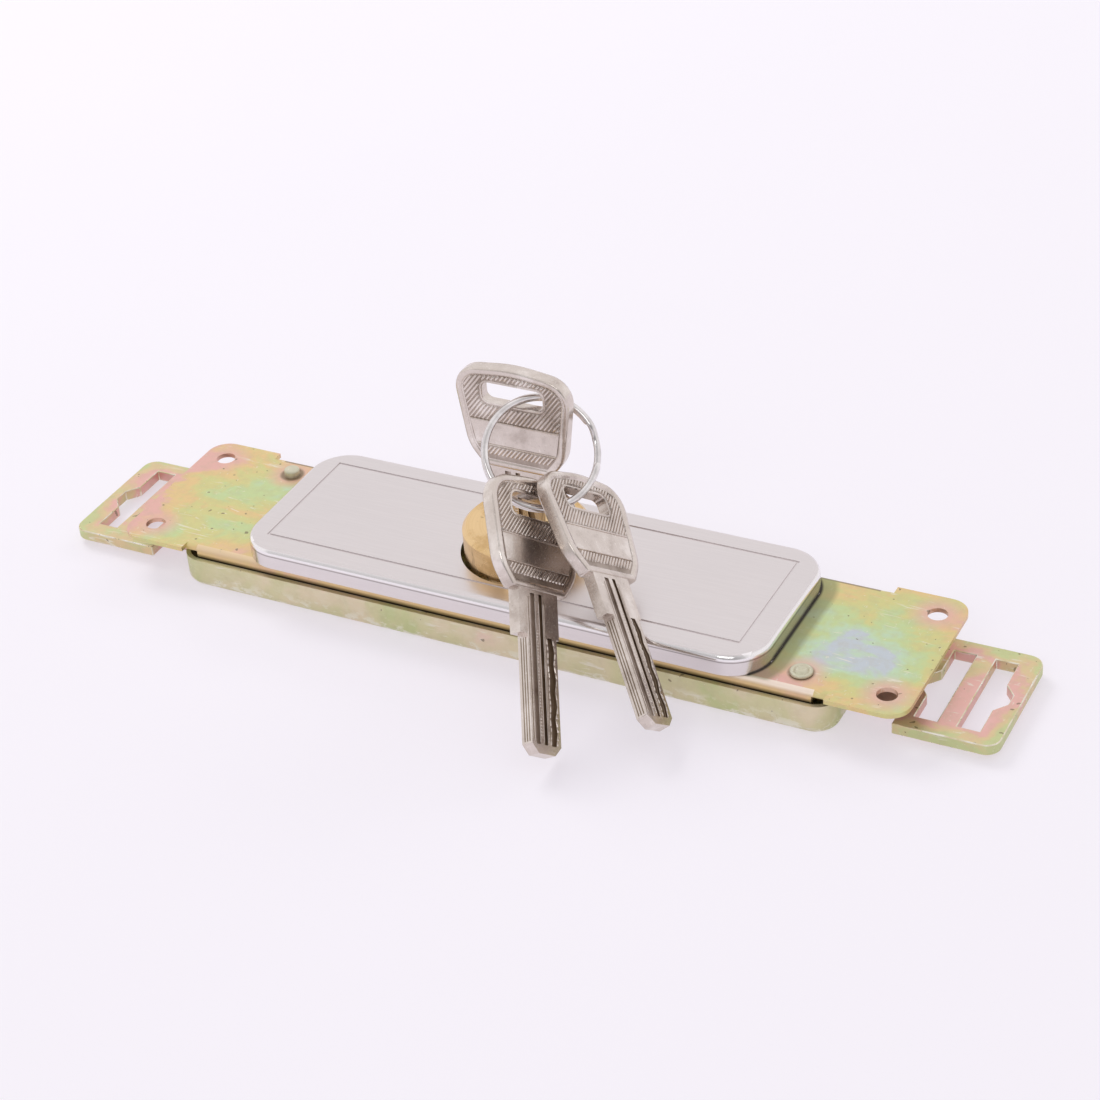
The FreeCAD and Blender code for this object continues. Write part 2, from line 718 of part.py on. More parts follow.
def make_ear_screws():
    """Slotted screws that hold the cylinder's ears up under the plate, hidden by the cover."""
    screws = []
    for i, side in enumerate(("", "-")):
        head = doc.addObject("Part::Cylinder", "EarScrewHead%d" % i)
        shaft = doc.addObject("Part::Cylinder", "EarScrewShaft%d" % i)
        slot = doc.addObject("Part::Box", "EarScrewSlot%d" % i)
        tie(head, "Radius", "ear_screw_head / 2")
        tie(head, "Height", "ear_screw_head_rise")
        tie(head, "Placement.Base.z", "plate_top")
        tie(shaft, "Radius", "ear_screw / 2")
        tie(shaft, "Height", "plate_thick + ear_thick")
        tie(shaft, "Placement.Base.z", EAR_LOW)
        tie(slot, "Length", "ear_screw_head")
        tie(slot, "Width", "screw_slot")
        tie(slot, "Height", "screw_slot")
        tie(slot, "Placement.Base.y", "-screw_slot / 2")
        tie(slot, "Placement.Base.z", "plate_top + ear_screw_head_rise - screw_slot")
        for rod in (head, shaft):
            tie(rod, "Placement.Base.x", side + "ear_screw_x")
        tie(slot, "Placement.Base.x", side + "ear_screw_x - ear_screw_head / 2")
        joined = doc.addObject("Part::Fuse", "EarScrewRod%d" % i)
        joined.Base = head
        joined.Tool = shaft
        cut = doc.addObject("Part::Cut", "EarScrew%d" % i)
        cut.Base = joined
        cut.Tool = slot
        screws.append(cut)
    group = doc.addObject("Part::Compound", "cylinder_screws")
    group.Links = screws
    group.Label = "cylinder_screws"
    doc.recompute()
    return group


def mirrored(corners, side):
    """The right bolt's outline as it is, or turned half round for the left bolt."""
    if side > 0:
        return corners
    return [("-(%s)" % across, "-(%s)" % up) for across, up in corners]


def head_slot(start, width, outward):
    """A slot across the bolt head with a crown shaped notch in one long side."""
    low, high = start, "(%s + %s)" % (start, width)
    end = "slot_length / 2"
    notched = high if outward else low
    sign = "+" if outward else "-"
    deep = "(%s %s notch_depth)" % (notched, sign)
    notch = [
        (notched, "-notch_width / 2"),
        (deep, "-notch_tip / 2"),
        (deep, "notch_tip / 2"),
        (notched, "notch_width / 2"),
    ]
    if outward:
        return [(low, "-" + end), (high, "-" + end)] + notch + [(high, end), (low, end)]
    return [(high, end), (low, end)] + notch[::-1] + [(low, "-" + end), (high, "-" + end)]


def make_bolt(label, side):
    """A flat bolt: slotted head, shank, guided part and the arm that its drive stud moves."""
    bolt = new_body(label)
    shank, guide, head = "bolt_shank_width / 2", "bolt_guide_width / 2", "bolt_head_width / 2"
    stud_x, _ = stud_place(0)
    slot_half = "(stud_dia / 2 + stud_slot_gap)"
    arm_end = "(%s - %s - arm_past_slot)" % (stud_x, slot_half)
    corners = [
        (arm_end, "-" + guide),
        ("bolt_guide_end", "-" + guide),
        ("bolt_guide_end", "-" + shank),
        ("bolt_head_start", "-" + shank),
        ("bolt_head_start", "-" + head),
        ("bolt_end", "-" + head),
        ("bolt_end", head),
        ("bolt_head_start", head),
        ("bolt_head_start", shank),
        ("bolt_guide_end", shank),
        ("bolt_guide_end", guide),
        ("bolt_guide_start", guide),
        ("bolt_guide_start", "-arm_inner"),
        (arm_end, "-arm_inner"),
    ]
    drawn = sketch(bolt, "XY_Plane", label + "Outline", BOLT_LOW)
    outline(drawn, mirrored(corners, side))
    pad(bolt, drawn, "bolt_thick", label + "Bar")
    end = num("bolt_end")
    fillet(bolt, upright_at(end - NEAR), "bolt_head_corner", label + "HeadCorners")
    drawn = sketch(bolt, "XY_Plane", label + "Slots", BOLT_TOP)
    outline(drawn, mirrored(head_slot("outer_slot_start", "outer_slot_width", True), side))
    outline(drawn, mirrored(head_slot("inner_slot_start", "inner_slot_width", False), side))
    pocket(bolt, drawn, "bolt_thick", label + "SlotsCut")
    drawn = sketch(bolt, "XY_Plane", label + "DriveSlot", BOLT_TOP)
    far = "-(stud_circle + stud_dia / 2 + stud_slot_gap)"
    drive = [
        ("(%s - %s)" % (stud_x, slot_half), far),
        ("(%s + %s)" % (stud_x, slot_half), far),
        ("(%s + %s)" % (stud_x, slot_half), "-arm_inner + stud_slot_open"),
        ("(%s - %s)" % (stud_x, slot_half), "-arm_inner + stud_slot_open"),
    ]
    outline(drawn, mirrored(drive, side))
    pocket(bolt, drawn, "bolt_thick", label + "DriveSlotCut")
    return bolt


def make_strap(label, side):
    """A bridge of bent strip over the bolt, standing on the tray floor."""
    strap = new_body(label)
    start = "strap_place - strap_length / 2" if side > 0 else "-strap_place - strap_length / 2"
    inner = "(bolt_guide_width / 2 + strap_side_gap)"
    outer = "(bolt_guide_width / 2 + strap_side_gap + strap_leg)"
    under = "(%s + strap_top_gap)" % BOLT_TOP
    drawn = sketch(strap, "YZ_Plane", label + "Outline", start)
    outline(
        drawn,
        [
            ("-" + outer, "tray_wall"),
            ("-" + inner, "tray_wall"),
            ("-" + inner, under),
            (inner, under),
            (inner, "tray_wall"),
            (outer, "tray_wall"),
            (outer, under + " + strap_thick"),
            ("-" + outer, under + " + strap_thick"),
        ],
    )
    pad(strap, drawn, "strap_length", label + "Strip")
    top = num(under + " + strap_thick")
    fillet(
        strap,
        lambda e: runs_along(e, X_AXIS) and abs(middle(e).z - top) < NEAR,
        "strap_thick",
        label + "Bends",
    )
    return strap


def bow_corners(inset):
    """The key bow's outline, drawn in by inset: a wide rounded top that narrows to the neck."""
    top = "(blade_length + bow_height - %s)" % inset
    shoulder = "(blade_length + bow_height - bow_shoulder_drop)"
    foot = "(blade_length + %s)" % inset
    right = [
        ("(bow_foot / 2 - %s)" % inset, foot),
        ("(bow_waist / 2 - %s)" % inset, "(blade_length + bow_foot_rise)"),
        ("(bow_width / 2 - %s)" % inset, shoulder),
        ("(bow_width / 2 - bow_crown_cut - %s)" % inset, top + " - bow_crown_drop"),
    ]
    left = [("-" + across, up) for across, up in right[::-1]]
    return right + [(ZERO, top)] + left


def make_key(label):
    """A flat steel key: dished bow with a slot, stepped neck, grooved blade with a milled track.

    It stands on its tip in its own frame, its faces along X.
    """
    key = new_body(label)
    half_bow, half_blade = "bow_thick / 2", "blade_thick / 2"
    drawn = sketch(key, "XZ_Plane", label + "BowOutline", "-" + half_bow)
    outline(drawn, bow_corners(ZERO))
    pad(key, drawn, "bow_thick", label + "Bow")
    low = num("blade_length")
    high = num("blade_length + bow_height")
    fillet(
        key,
        lambda e: runs_along(e, Y_AXIS) and low + NEAR < middle(e).z < high - NEAR,
        "bow_corner",
        label + "BowCorners",
    )
    drawn = sketch(key, "XZ_Plane", label + "SlotOutline", half_bow)
    half_slot = "bow_slot_length / 2"
    centred_low = "bow_slot_height - bow_slot_width / 2"
    centred_high = "bow_slot_height + bow_slot_width / 2"
    rectangle(drawn, "-" + half_slot, half_slot, centred_low, centred_high)
    pocket(key, drawn, "bow_thick", label + "Slot")
    end = num(half_slot)
    fillet(
        key,
        lambda e: runs_along(e, Y_AXIS) and abs(abs(middle(e).x) - end) < NEAR,
        "bow_slot_corner",
        label + "SlotCorners",
    )
    for name, offset, back in (("Front", half_bow, False), ("Back", "-" + half_bow, True)):
        drawn = sketch(key, "XZ_Plane", label + "Dish" + name, offset)
        outline(drawn, bow_corners("bow_rim"))
        pocket(key, drawn, "bow_dish", label + "Dish" + name + "Cut", back=back)
    drawn = sketch(key, "XZ_Plane", label + "BladeOutline", "-" + half_blade)
    left, right = "-blade_width / 2", "blade_width / 2"
    step = "(blade_length - neck_length)"
    outline(
        drawn,
        [
            (left + " + blade_tip_bevel", ZERO),
            (right + " - blade_tip_bevel", ZERO),
            (right, "blade_tip_bevel"),
            (right, step),
            (right + " + neck_right", step),
            (right + " + neck_right", "blade_length + neck_overlap"),
            (left + " - neck_left", "blade_length + neck_overlap"),
            (left + " - neck_left", step),
            (left, step),
            (left, "blade_tip_bevel"),
        ],
    )
    pad(key, drawn, "blade_thick", label + "Blade")
    for name, offset, back in (("Front", half_blade, False), ("Back", "-" + half_blade, True)):
        drawn = sketch(key, "XZ_Plane", label + "Grooves" + name, offset)
        for groove in ("fine_groove", "deep_groove"):
            inner = "%s_place - %s_width / 2" % (groove, groove)
            outer = "%s_place + %s_width / 2" % (groove, groove)
            rectangle(drawn, inner, outer, "blade_tip_bevel", "blade_length - groove_end_gap")
        outline(drawn, track_corners())
        pocket(key, drawn, "blade_groove_depth", label + "Grooves" + name + "Cut", back=back)
    return key


def track_corners():
    """The milled track near one edge of the blade: a wavy band of even steps."""
    swing = (0.0, 0.6, 0.1, 0.9, 0.4, 1.0, 0.25, 0.75, 0.0)
    steps = len(swing) - 1
    outer, inner = [], []
    for i, share in enumerate(swing):
        up = "blade_tip_bevel + %d * (blade_length - neck_length - blade_tip_bevel) / %d" % (i, steps)
        outer.append(("track_place + track_width + %g * track_swing" % share, up))
        inner.append(("track_place + %g * track_swing / 2" % share, up))
    return outer + inner[::-1]


def spare_placement(name):
    """Where a spare key hangs: its slot's middle, then yaw, pitch and roll."""
    spot = FreeCAD.Vector(*[num("spare_%s_%s" % (name, axis)) for axis in "xyz"])
    turn = FreeCAD.Rotation(Z_AXIS, num("spare_%s_yaw" % name))
    turn = turn.multiply(FreeCAD.Rotation(X_AXIS, num("spare_%s_pitch" % name)))
    turn = turn.multiply(FreeCAD.Rotation(Y_AXIS, num("spare_%s_roll" % name)))
    pivot = FreeCAD.Vector(0, 0, num("bow_slot_height"))
    return FreeCAD.Placement(spot - turn.multVec(pivot), turn)


def ring_path():
    """Points along the ring's wire: two flat turns side by side, joined by a short slanting step."""
    radius, jog, gap = num("ring_radius"), num("ring_jog"), num("ring_end_gap")
    offset = num("ring_wire / 2 + ring_turn_gap / 2")
    full = 360
    steps = 2 * SIZES["ring_turn_steps"]
    points = []
    for i in range(steps + 1):
        angle = gap + (2 * full - 2 * gap) * i / steps
        share = min(max((angle - full) / jog, 0), 1)
        level = offset * (2 * share - 1)
        points.append(FreeCAD.Rotation(Z_AXIS, angle).multVec(FreeCAD.Vector(radius, 0, level)))
    return points


def make_ring():
    """The split ring. Its wire is built from flat facets, which keeps the many turns' faces few."""
    points = ring_path()
    sides = SIZES["ring_wire_sides"]
    rows = []
    for spot in points:
        out = FreeCAD.Vector(spot.x, spot.y, 0).normalize() * num("ring_wire / 2")
        turns = [FreeCAD.Rotation(out.cross(Z_AXIS), 360 * k / sides) for k in range(sides)]
        rows.append([spot + turn.multVec(out) for turn in turns])
    faces = [Part.Face(Part.makePolygon(row + row[:1])) for row in (rows[0], rows[-1])]
    for low, high in zip(rows, rows[1:]):
        for k in range(sides):
            after = (k + 1) % sides
            for corners in ((low[k], low[after], high[after]), (low[k], high[after], high[k])):
                faces.append(Part.Face(Part.makePolygon([*corners, corners[0]])))
    shell = Part.makeShell(faces)
    shell.sewShape()
    solid = Part.makeSolid(shell)
    made = doc.addObject("Part::Feature", "split_ring")
    made.Shape = solid if solid.Volume > 0 else solid.reversed()
    lean = FreeCAD.Rotation(Z_AXIS, num("ring_turned"))
    lean = lean.multiply(FreeCAD.Rotation(X_AXIS, 90 - num("ring_lean")))
    spot = FreeCAD.Vector(num("ring_x"), num("ring_y"), num("ring_z"))
    made.Placement = FreeCAD.Placement(spot, lean)
    made.Label = "split_ring"
    return made


nodes = [make_tray(), make_plate(), make_cover()]
nodes += [
    make_rivet("rivet_left", "-", "stud_head", "stud_head_rise"),
    make_rivet("rivet_right", "", "peened_head", "peened_head_rise"),
]
nodes += [make_cylinder(), make_strip(), make_ear_screws()]
nodes += make_pins()
nodes += [make_plug(), make_disc(), make_disc_screws(), make_studs()]
nodes += [make_bolt("right_bolt", 1), make_bolt("left_bolt", -1)]
nodes += [make_strap("strap_right", 1), make_strap("strap_left", -1)]

inserted = make_key("inserted_key")
inserted.Placement = FreeCAD.Placement(FreeCAD.Vector(0, 0, num("key_tip_height")), FreeCAD.Rotation())
nodes.append(inserted)
for label, name in (("spare_key_front", "a"), ("spare_key_side", "b")):
    spare = make_key(label)
    spare.Placement = spare_placement(name)
    nodes.append(spare)
nodes.append(make_ring())

doc.recompute()
for thing in doc.Objects:
    if "Invalid" in thing.State or "Error" in thing.State:
        raise RuntimeError("%s failed: %s" % (thing.Name, thing.State))

os.makedirs("parts", exist_ok=True)
for node in nodes:
    shape = node.Shape
    if shape.isNull() or not shape.isValid():
        raise RuntimeError("%s has no valid shape" % node.Label)
    print("%-16s solids %d  volume %9.2f" % (node.Label, len(shape.Solids), shape.Volume))
    shape.exportStep("parts/%s.step" % node.Label)
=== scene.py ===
"""Looks of a roller shutter lock with its keys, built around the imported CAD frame.

Metres, in the frame of the record: +X along the lock to the right, +Y to the upper long edge, +Z out.
The keys, the ring and the rivets are written in millimetres and scaled by MM.
"""

import math

import bmesh
import bpy
from mathutils import Matrix, Vector


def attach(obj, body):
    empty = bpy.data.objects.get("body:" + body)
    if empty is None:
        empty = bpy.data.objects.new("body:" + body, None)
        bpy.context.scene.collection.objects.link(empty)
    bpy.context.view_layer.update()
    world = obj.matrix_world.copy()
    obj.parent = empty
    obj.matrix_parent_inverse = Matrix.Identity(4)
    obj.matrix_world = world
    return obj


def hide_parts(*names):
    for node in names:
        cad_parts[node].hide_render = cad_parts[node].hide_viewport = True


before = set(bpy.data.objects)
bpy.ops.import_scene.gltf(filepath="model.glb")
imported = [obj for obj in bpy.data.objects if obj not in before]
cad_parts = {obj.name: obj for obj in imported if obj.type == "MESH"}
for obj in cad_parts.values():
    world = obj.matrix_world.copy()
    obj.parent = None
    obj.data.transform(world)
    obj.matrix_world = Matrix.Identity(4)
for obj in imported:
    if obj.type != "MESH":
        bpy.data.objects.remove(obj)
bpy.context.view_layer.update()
scene = bpy.context.scene
MM = 0.001


class Tree:
    """A node tree with short calls to add and link nodes."""

    def __init__(self, tree):
        self.tree = tree

    def add(self, kind, links=(), **values):
        node = self.tree.nodes.new(kind)
        for key, value in values.items():
            setattr(node, key, value)
        for name, source in dict(links).items():
            self.put(node.inputs[name], source)
        return node

    def put(self, socket, source):
        if isinstance(source, bpy.types.NodeSocket):
            self.tree.links.new(source, socket)
        else:
            socket.default_value = source


class Nodes(Tree):
    """A material's node tree, with the textures and sums that the finishes share."""

    def __init__(self, name):
        self.material = bpy.data.materials.new(name)
        self.material.use_nodes = True
        super().__init__(self.material.node_tree)
        self.shader = self.tree.nodes["Principled BSDF"]
        self.spot = self.add("ShaderNodeTexCoord").outputs["Object"]

    def set(self, **values):
        for name, value in values.items():
            self.put(self.shader.inputs[name.replace("_", " ")], value)

    def noise(self, scale, detail=4.0, rough=0.55, stretch=(1, 1, 1), shift=(0, 0, 0), warp=0.0):
        place = self.add("ShaderNodeMapping", {"Vector": self.spot, "Location": shift, "Scale": stretch})
        links = {"Vector": place.outputs[0], "Scale": scale, "Detail": detail}
        links.update({"Roughness": rough, "Distortion": warp})
        return self.add("ShaderNodeTexNoise", links).outputs["Fac"]

    def ramp(self, source, stops):
        node = self.add("ShaderNodeValToRGB", {"Fac": source})
        node.color_ramp.interpolation = "EASE"
        marks = node.color_ramp.elements
        for i, (place, colour) in enumerate(stops):
            mark = marks[i] if i < 2 else marks.new(place)
            mark.position = place
            mark.color = (*colour, 1)
        return node.outputs["Color"]

    def levels(self, source, low, high, out_low=0.0, out_high=1.0):
        links = {"Value": source, "From Min": low, "From Max": high, "To Min": out_low, "To Max": out_high}
        return self.add("ShaderNodeMapRange", links).outputs[0]

    def math(self, what, a, b=0.0):
        node = self.add("ShaderNodeMath", operation=what)
        self.put(node.inputs[0], a)
        self.put(node.inputs[1], b)
        return node.outputs[0]

    def joined(self, what, first, *others):
        for other in others:
            first = self.math(what, first, other)
        return first

    def product(self, *values):
        return self.joined("MULTIPLY", *values)

    def total(self, *values):
        return self.joined("ADD", *values)

    def size(self, value):
        return self.math("ABSOLUTE", value)

    def length(self, a, b):
        """How long the diagonal over two offsets is."""
        return self.math("SQRT", self.total(self.product(a, a), self.product(b, b)))

    def band(self, value, rise, fall):
        """1 between two slopes, each given by the values where it starts and ends."""
        return self.product(self.levels(value, *rise), self.levels(value, *fall, 1.0, 0.0))

    def mix(self, share, under, colour):
        node = self.add("ShaderNodeMix", {0: share}, data_type="RGBA")
        for i, value in ((6, under), (7, colour)):
            self.put(node.inputs[i], value if isinstance(value, bpy.types.NodeSocket) else (*value, 1))
        return node.outputs[2]

    def paint(self, under, mask, colour, strength):
        """A colour over another by a mask, at a strength."""
        return self.mix(self.product(mask, strength), under, colour)

    def split(self):
        parts = self.add("ShaderNodeSeparateXYZ", {"Vector": self.spot}).outputs
        return parts[0], parts[1], parts[2]

    def bump(self, height, strength, distance):
        links = {"Height": height, "Strength": strength, "Distance": distance}
        return self.add("ShaderNodeBump", links).outputs[0]

    def near(self, points, low, high):
        """1 next to any of the points (in X and Y), 0 farther than high."""
        x, y, _ = self.split()
        ways = []
        for px, py in points:
            ways.append(self.length(self.math("SUBTRACT", x, px), self.math("SUBTRACT", y, py)))
        return self.levels(self.joined("MINIMUM", *ways), low, high, 1.0, 0.0)

    def inside(self, end, half):
        """How far a point lies inside the long rectangle that reaches to end in X and to half in Y."""
        x, y, _ = self.split()
        from_end = self.math("SUBTRACT", end, self.size(x))
        return self.math("MINIMUM", from_end, self.math("SUBTRACT", half, self.size(y)))


def far_corner(node):
    """The greatest X, Y and Z of a CAD node."""
    spots = [vert.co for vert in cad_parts[node].data.vertices]
    return [max(spot[i] for spot in spots) for i in range(3)]


PLATE_END, PLATE_HALF, PLATE_TOP = far_corner("face_plate")
COVER_END, COVER_HALF, COVER_TOP = far_corner("cover")
BOLT_END, BOLT_HALF, _ = far_corner("right_bolt")
COVER_ROUND = 8.5 * MM
HOLES = [(sx * 83 * MM, sy * 14 * MM) for sx in (1, -1) for sy in (1, -1)]
RIVETS = [(65.4 * MM, -13.45 * MM), (-65.4 * MM, 13.45 * MM)]
# The plate's folded long edges: how far they reach in X, and where their bend starts in Y.
FOLD_END, FOLD_START = 69.8 * MM, 17.6 * MM
# Just below the cover's flat top, above its pressed line.
COVER_FLAT = COVER_TOP - 0.23 * MM

# Colours of the zinc's passivation film, from the thin film of the edges to the thick one.
PINK = (0.80, 0.47, 0.41)
ORANGE = (0.79, 0.58, 0.28)
YELLOW = (0.68, 0.64, 0.28)
GREEN = (0.58, 0.68, 0.34)
AQUA = (0.56, 0.71, 0.49)
LILAC = (0.57, 0.62, 0.66)
# What lies over the film: stains, bare metal, dirt, the rubbed gold fold, a painted highlight on the fold,
# and painted shade and shadow beside other pieces.
DULL = (0.55, 0.48, 0.31)
BARE = (0.84, 0.79, 0.68)
GRIME = (0.20, 0.15, 0.09)
GOLD = (0.80, 0.58, 0.30)
FOLD_HIGHLIGHT = (0.98, 0.86, 0.76)
COVER_SHADOW = (0.27, 0.27, 0.13)
FOLD_SHADE = (0.17, 0.12, 0.07)
RIVET_SHADE = (0.16, 0.13, 0.07)
CREVICE_SHADE = (0.02, 0.015, 0.01)

PLATE_TONES = ((0.0, PINK), (0.2, ORANGE), (0.42, YELLOW), (0.62, GREEN), (0.80, AQUA), (0.98, LILAC))
TRAY_TONES = (
    (0.0, (0.84, 0.62, 0.53)),
    (0.25, (0.76, 0.66, 0.46)),
    (0.5, (0.68, 0.64, 0.38)),
    (0.75, (0.58, 0.62, 0.31)),
    (1.0, (0.52, 0.62, 0.30)),
)
BOLT_TONES = (
    (0.0, (0.60, 0.64, 0.32)),
    (0.26, (0.74, 0.58, 0.33)),
    (0.45, PINK),
    (0.8, (0.83, 0.50, 0.46)),
    (1.0, (0.70, 0.62, 0.34)),
)
SMALL_TONES = ((0.0, (0.52, 0.50, 0.36)), (0.5, (0.68, 0.65, 0.50)), (1.0, (0.60, 0.60, 0.40)))
# Where the film is thickest, in mm: by the cover's front corner on the left, mid plate on the right.
THICK = [(-62.5, -15.0), (-80.0, -19.5), (70.0, 3.0), (76.5, 4.5), (79.0, -2.5)]


def passivated(name, tones, spread, shift, spots=(), steer=None, after=None):
    """Yellow passivated zinc: soft patches of film colour, fine scratches, specks and pale rubbed marks."""
    n = Nodes(name)
    patch = n.levels(n.noise(spread, 4.0, 0.58, (1, 1.25, 1), shift, 0.3), 0.25, 0.75)
    if steer:
        patch = n.total(patch, steer(n))
    film = n.ramp(patch, tones)
    if spots:
        film = n.paint(film, n.near(spots, 2.6 * MM, 6.2 * MM), PINK, 0.8)
    wide = n.noise(420, 5, 0.65, shift=shift)
    film = n.mix(n.levels(wide, 0.45, 0.8, 0.0, 0.35), film, DULL)
    lines = n.levels(n.noise(900, 2, 0.5, (0.16, 1, 1), shift, 1.2), 0.62, 0.68)
    marks = n.product(lines, n.levels(n.noise(90, 2, shift=shift), 0.48, 0.6))
    film = n.paint(film, marks, BARE, 0.7)
    rubbed = n.levels(n.noise(1300, 3, 0.7, (1, 0.5, 1), shift), 0.65, 0.7)
    film = n.paint(film, rubbed, BARE, 0.5)
    specks = n.math("GREATER_THAN", n.noise(650, 1, 0.5, shift=(3, 1, 2)), 0.745)
    film = n.paint(film, specks, GRIME, 0.7)
    if after:
        film = after(n, film)
    n.set(Base_Color=film, Metallic=0.62, Roughness=n.levels(wide, 0.3, 0.75, 0.32, 0.48))
    n.set(Normal=n.bump(n.total(wide, n.product(marks, 0.8)), 0.12, 0.3 * MM))
    return n.material


def thick_inside(n):
    """Less film along the plate's edges, more in the middle and to the right."""
    x, _, _ = n.split()
    edge = n.levels(n.inside(PLATE_END, PLATE_HALF), 0.0, 10 * MM, -0.34, 0.08)
    thick = n.near([(px * MM, py * MM) for px, py in THICK], 1 * MM, 11.5 * MM)
    far = PLATE_END - 0.5 * MM
    return n.total(edge, n.product(thick, 0.15), n.levels(x, -far, far, -0.20, 0.06))


def thin_rim(n):
    """Green and yellow film along the bolt's outer edges."""
    return n.levels(n.inside(BOLT_END, BOLT_HALF), 0.0, 4.2 * MM, -0.48, 0.02)


def from_cover(n, x, y):
    """How far a point of the plate lies from the cover's right end, round its corners."""
    corner = COVER_END - COVER_ROUND
    out = n.math("MAXIMUM", n.math("SUBTRACT", x, corner), 0.0)
    aside = n.math("MAXIMUM", n.math("SUBTRACT", n.size(y), COVER_HALF - COVER_ROUND), 0.0)
    # Left of the rounded corners everything counts as far away.
    far = n.product(n.math("LESS_THAN", x, corner), 100 * MM)
    return n.total(n.math("SUBTRACT", n.length(out, aside), COVER_ROUND), far)


def folds_highlight_and_shade(n, film):
    """The plate's rubbed gold folds with a painted highlight on their bend, and painted shade: below a
    fold, behind the back fold, the cover's shadow and gap beside it, and round the rivets.
    """
    x, y, z = n.split()
    along = n.math("LESS_THAN", n.size(x), FOLD_END)
    fold = n.product(n.math("GREATER_THAN", n.size(y), FOLD_START), along)
    rubbed = n.levels(n.noise(200, 3, 0.6, (0.2, 1, 1)), 0.35, 0.6, 0.55, 0.95)
    film = n.mix(n.product(fold, rubbed), film, GOLD)
    # Painted highlight: a pale band along the top of the bend, stronger to the right.
    bend = n.levels(z, PLATE_TOP - 1.1 * MM, PLATE_TOP - 0.5 * MM)
    highlight_spread = n.levels(x, 0.0, 55 * MM, 0.25, 0.8)
    film = n.mix(n.product(fold, highlight_spread, bend), film, FOLD_HIGHLIGHT)
    # Painted shade: near black in the gap below the fold.
    under = n.levels(z, PLATE_TOP - 2.4 * MM, PLATE_TOP - 1.5 * MM, 0.96, 0.0)
    film = n.mix(n.product(fold, under), film, CREVICE_SHADE)
    # Painted shade: a dark line along the back long edge where the fold bends down.
    rise = (FOLD_START - 0.4 * MM, FOLD_START - 0.1 * MM)
    behind = n.band(y, rise, (FOLD_START + 0.3 * MM, FOLD_START + 0.6 * MM))
    film = n.paint(film, n.product(behind, along), FOLD_SHADE, 0.75)
    # Painted shadow of the cover on the plate beside its right end, and a painted near black gap line along
    # the cover's foot.
    away = from_cover(n, x, y)
    flat = n.levels(z, PLATE_TOP - 0.3 * MM, PLATE_TOP - 0.05 * MM)
    film = n.mix(n.product(flat, n.levels(away, 2.8 * MM, 4.0 * MM, 0.62, 0.0)), film, COVER_SHADOW)
    film = n.mix(n.product(flat, n.levels(away, 0.2 * MM, 0.7 * MM, 0.96, 0.0)), film, CREVICE_SHADE)
    # Painted shade round the rivets.
    return n.paint(film, n.near(RIVETS, 2.3 * MM, 2.9 * MM), RIVET_SHADE, 0.75)


def worn_low(n, film):
    """Pale flecks where the tray's bottom bend was rubbed."""
    _, _, z = n.split()
    flecks = n.levels(n.noise(520, 4, 0.7, (0.55, 1, 1), (0.3, 0, 0.8)), 0.51, 0.58)
    low = n.product(flecks, n.levels(z, 1.2 * MM, 4.2 * MM, 0.9, 0.1))
    return n.mix(low, film, (0.86, 0.83, 0.70))


def worn_edge(name, film, share):
    """The rounded edges of zinc plated sheet, rubbed bare in places."""
    n = Nodes(name)
    bare = n.levels(n.noise(240, 4, 0.6, shift=(0.5, 0.2, 0.1)), share - 0.1, share + 0.08)
    n.set(Base_Color=n.mix(bare, film, (0.88, 0.84, 0.74)), Metallic=0.7)
    n.set(Roughness=n.levels(n.noise(900, 3), 0.3, 0.7, 0.24, 0.42))
    return n.material


plate_finish = passivated(
    "zinc_plate", PLATE_TONES, 62.0, (0.31, 0.12, 0.0), HOLES + RIVETS, thick_inside, folds_highlight_and_shade
)
tray_finish = passivated("zinc_tray", TRAY_TONES, 46.0, (0.05, 0.4, 0.2), after=worn_low)
bolt_finish = passivated("zinc_bolt", BOLT_TONES, 70.0, (0.7, 0.2, 0.1), steer=thin_rim)
small_finish = passivated("zinc_small", SMALL_TONES, 120.0, (0.2, 0.9, 0.4))
plate_edge = worn_edge("zinc_plate_edge", (0.70, 0.62, 0.36), 0.46)
tray_edge = worn_edge("zinc_tray_edge", (0.62, 0.56, 0.33), 0.5)
bolt_edge = worn_edge("zinc_bolt_edge", (0.70, 0.60, 0.36), 0.52)


def pressed_line_highlight(n):
    """The pressed line round the cover's field where it gets a painted highlight: at the sides and in
    front.
    """
    x, y, z = n.split()
    return n.product(
        n.math("LESS_THAN", z, COVER_FLAT),
        n.math("GREATER_THAN", z, COVER_TOP - 1.05 * MM),
        n.math("LESS_THAN", n.size(x), COVER_END - 2.3 * MM),
        n.math("LESS_THAN", y, COVER_HALF - 8.0 * MM),
        n.math("GREATER_THAN", y, 2.2 * MM - COVER_HALF),
        n.math("GREATER_THAN", n.length(x, y), 15.5 * MM),
    )


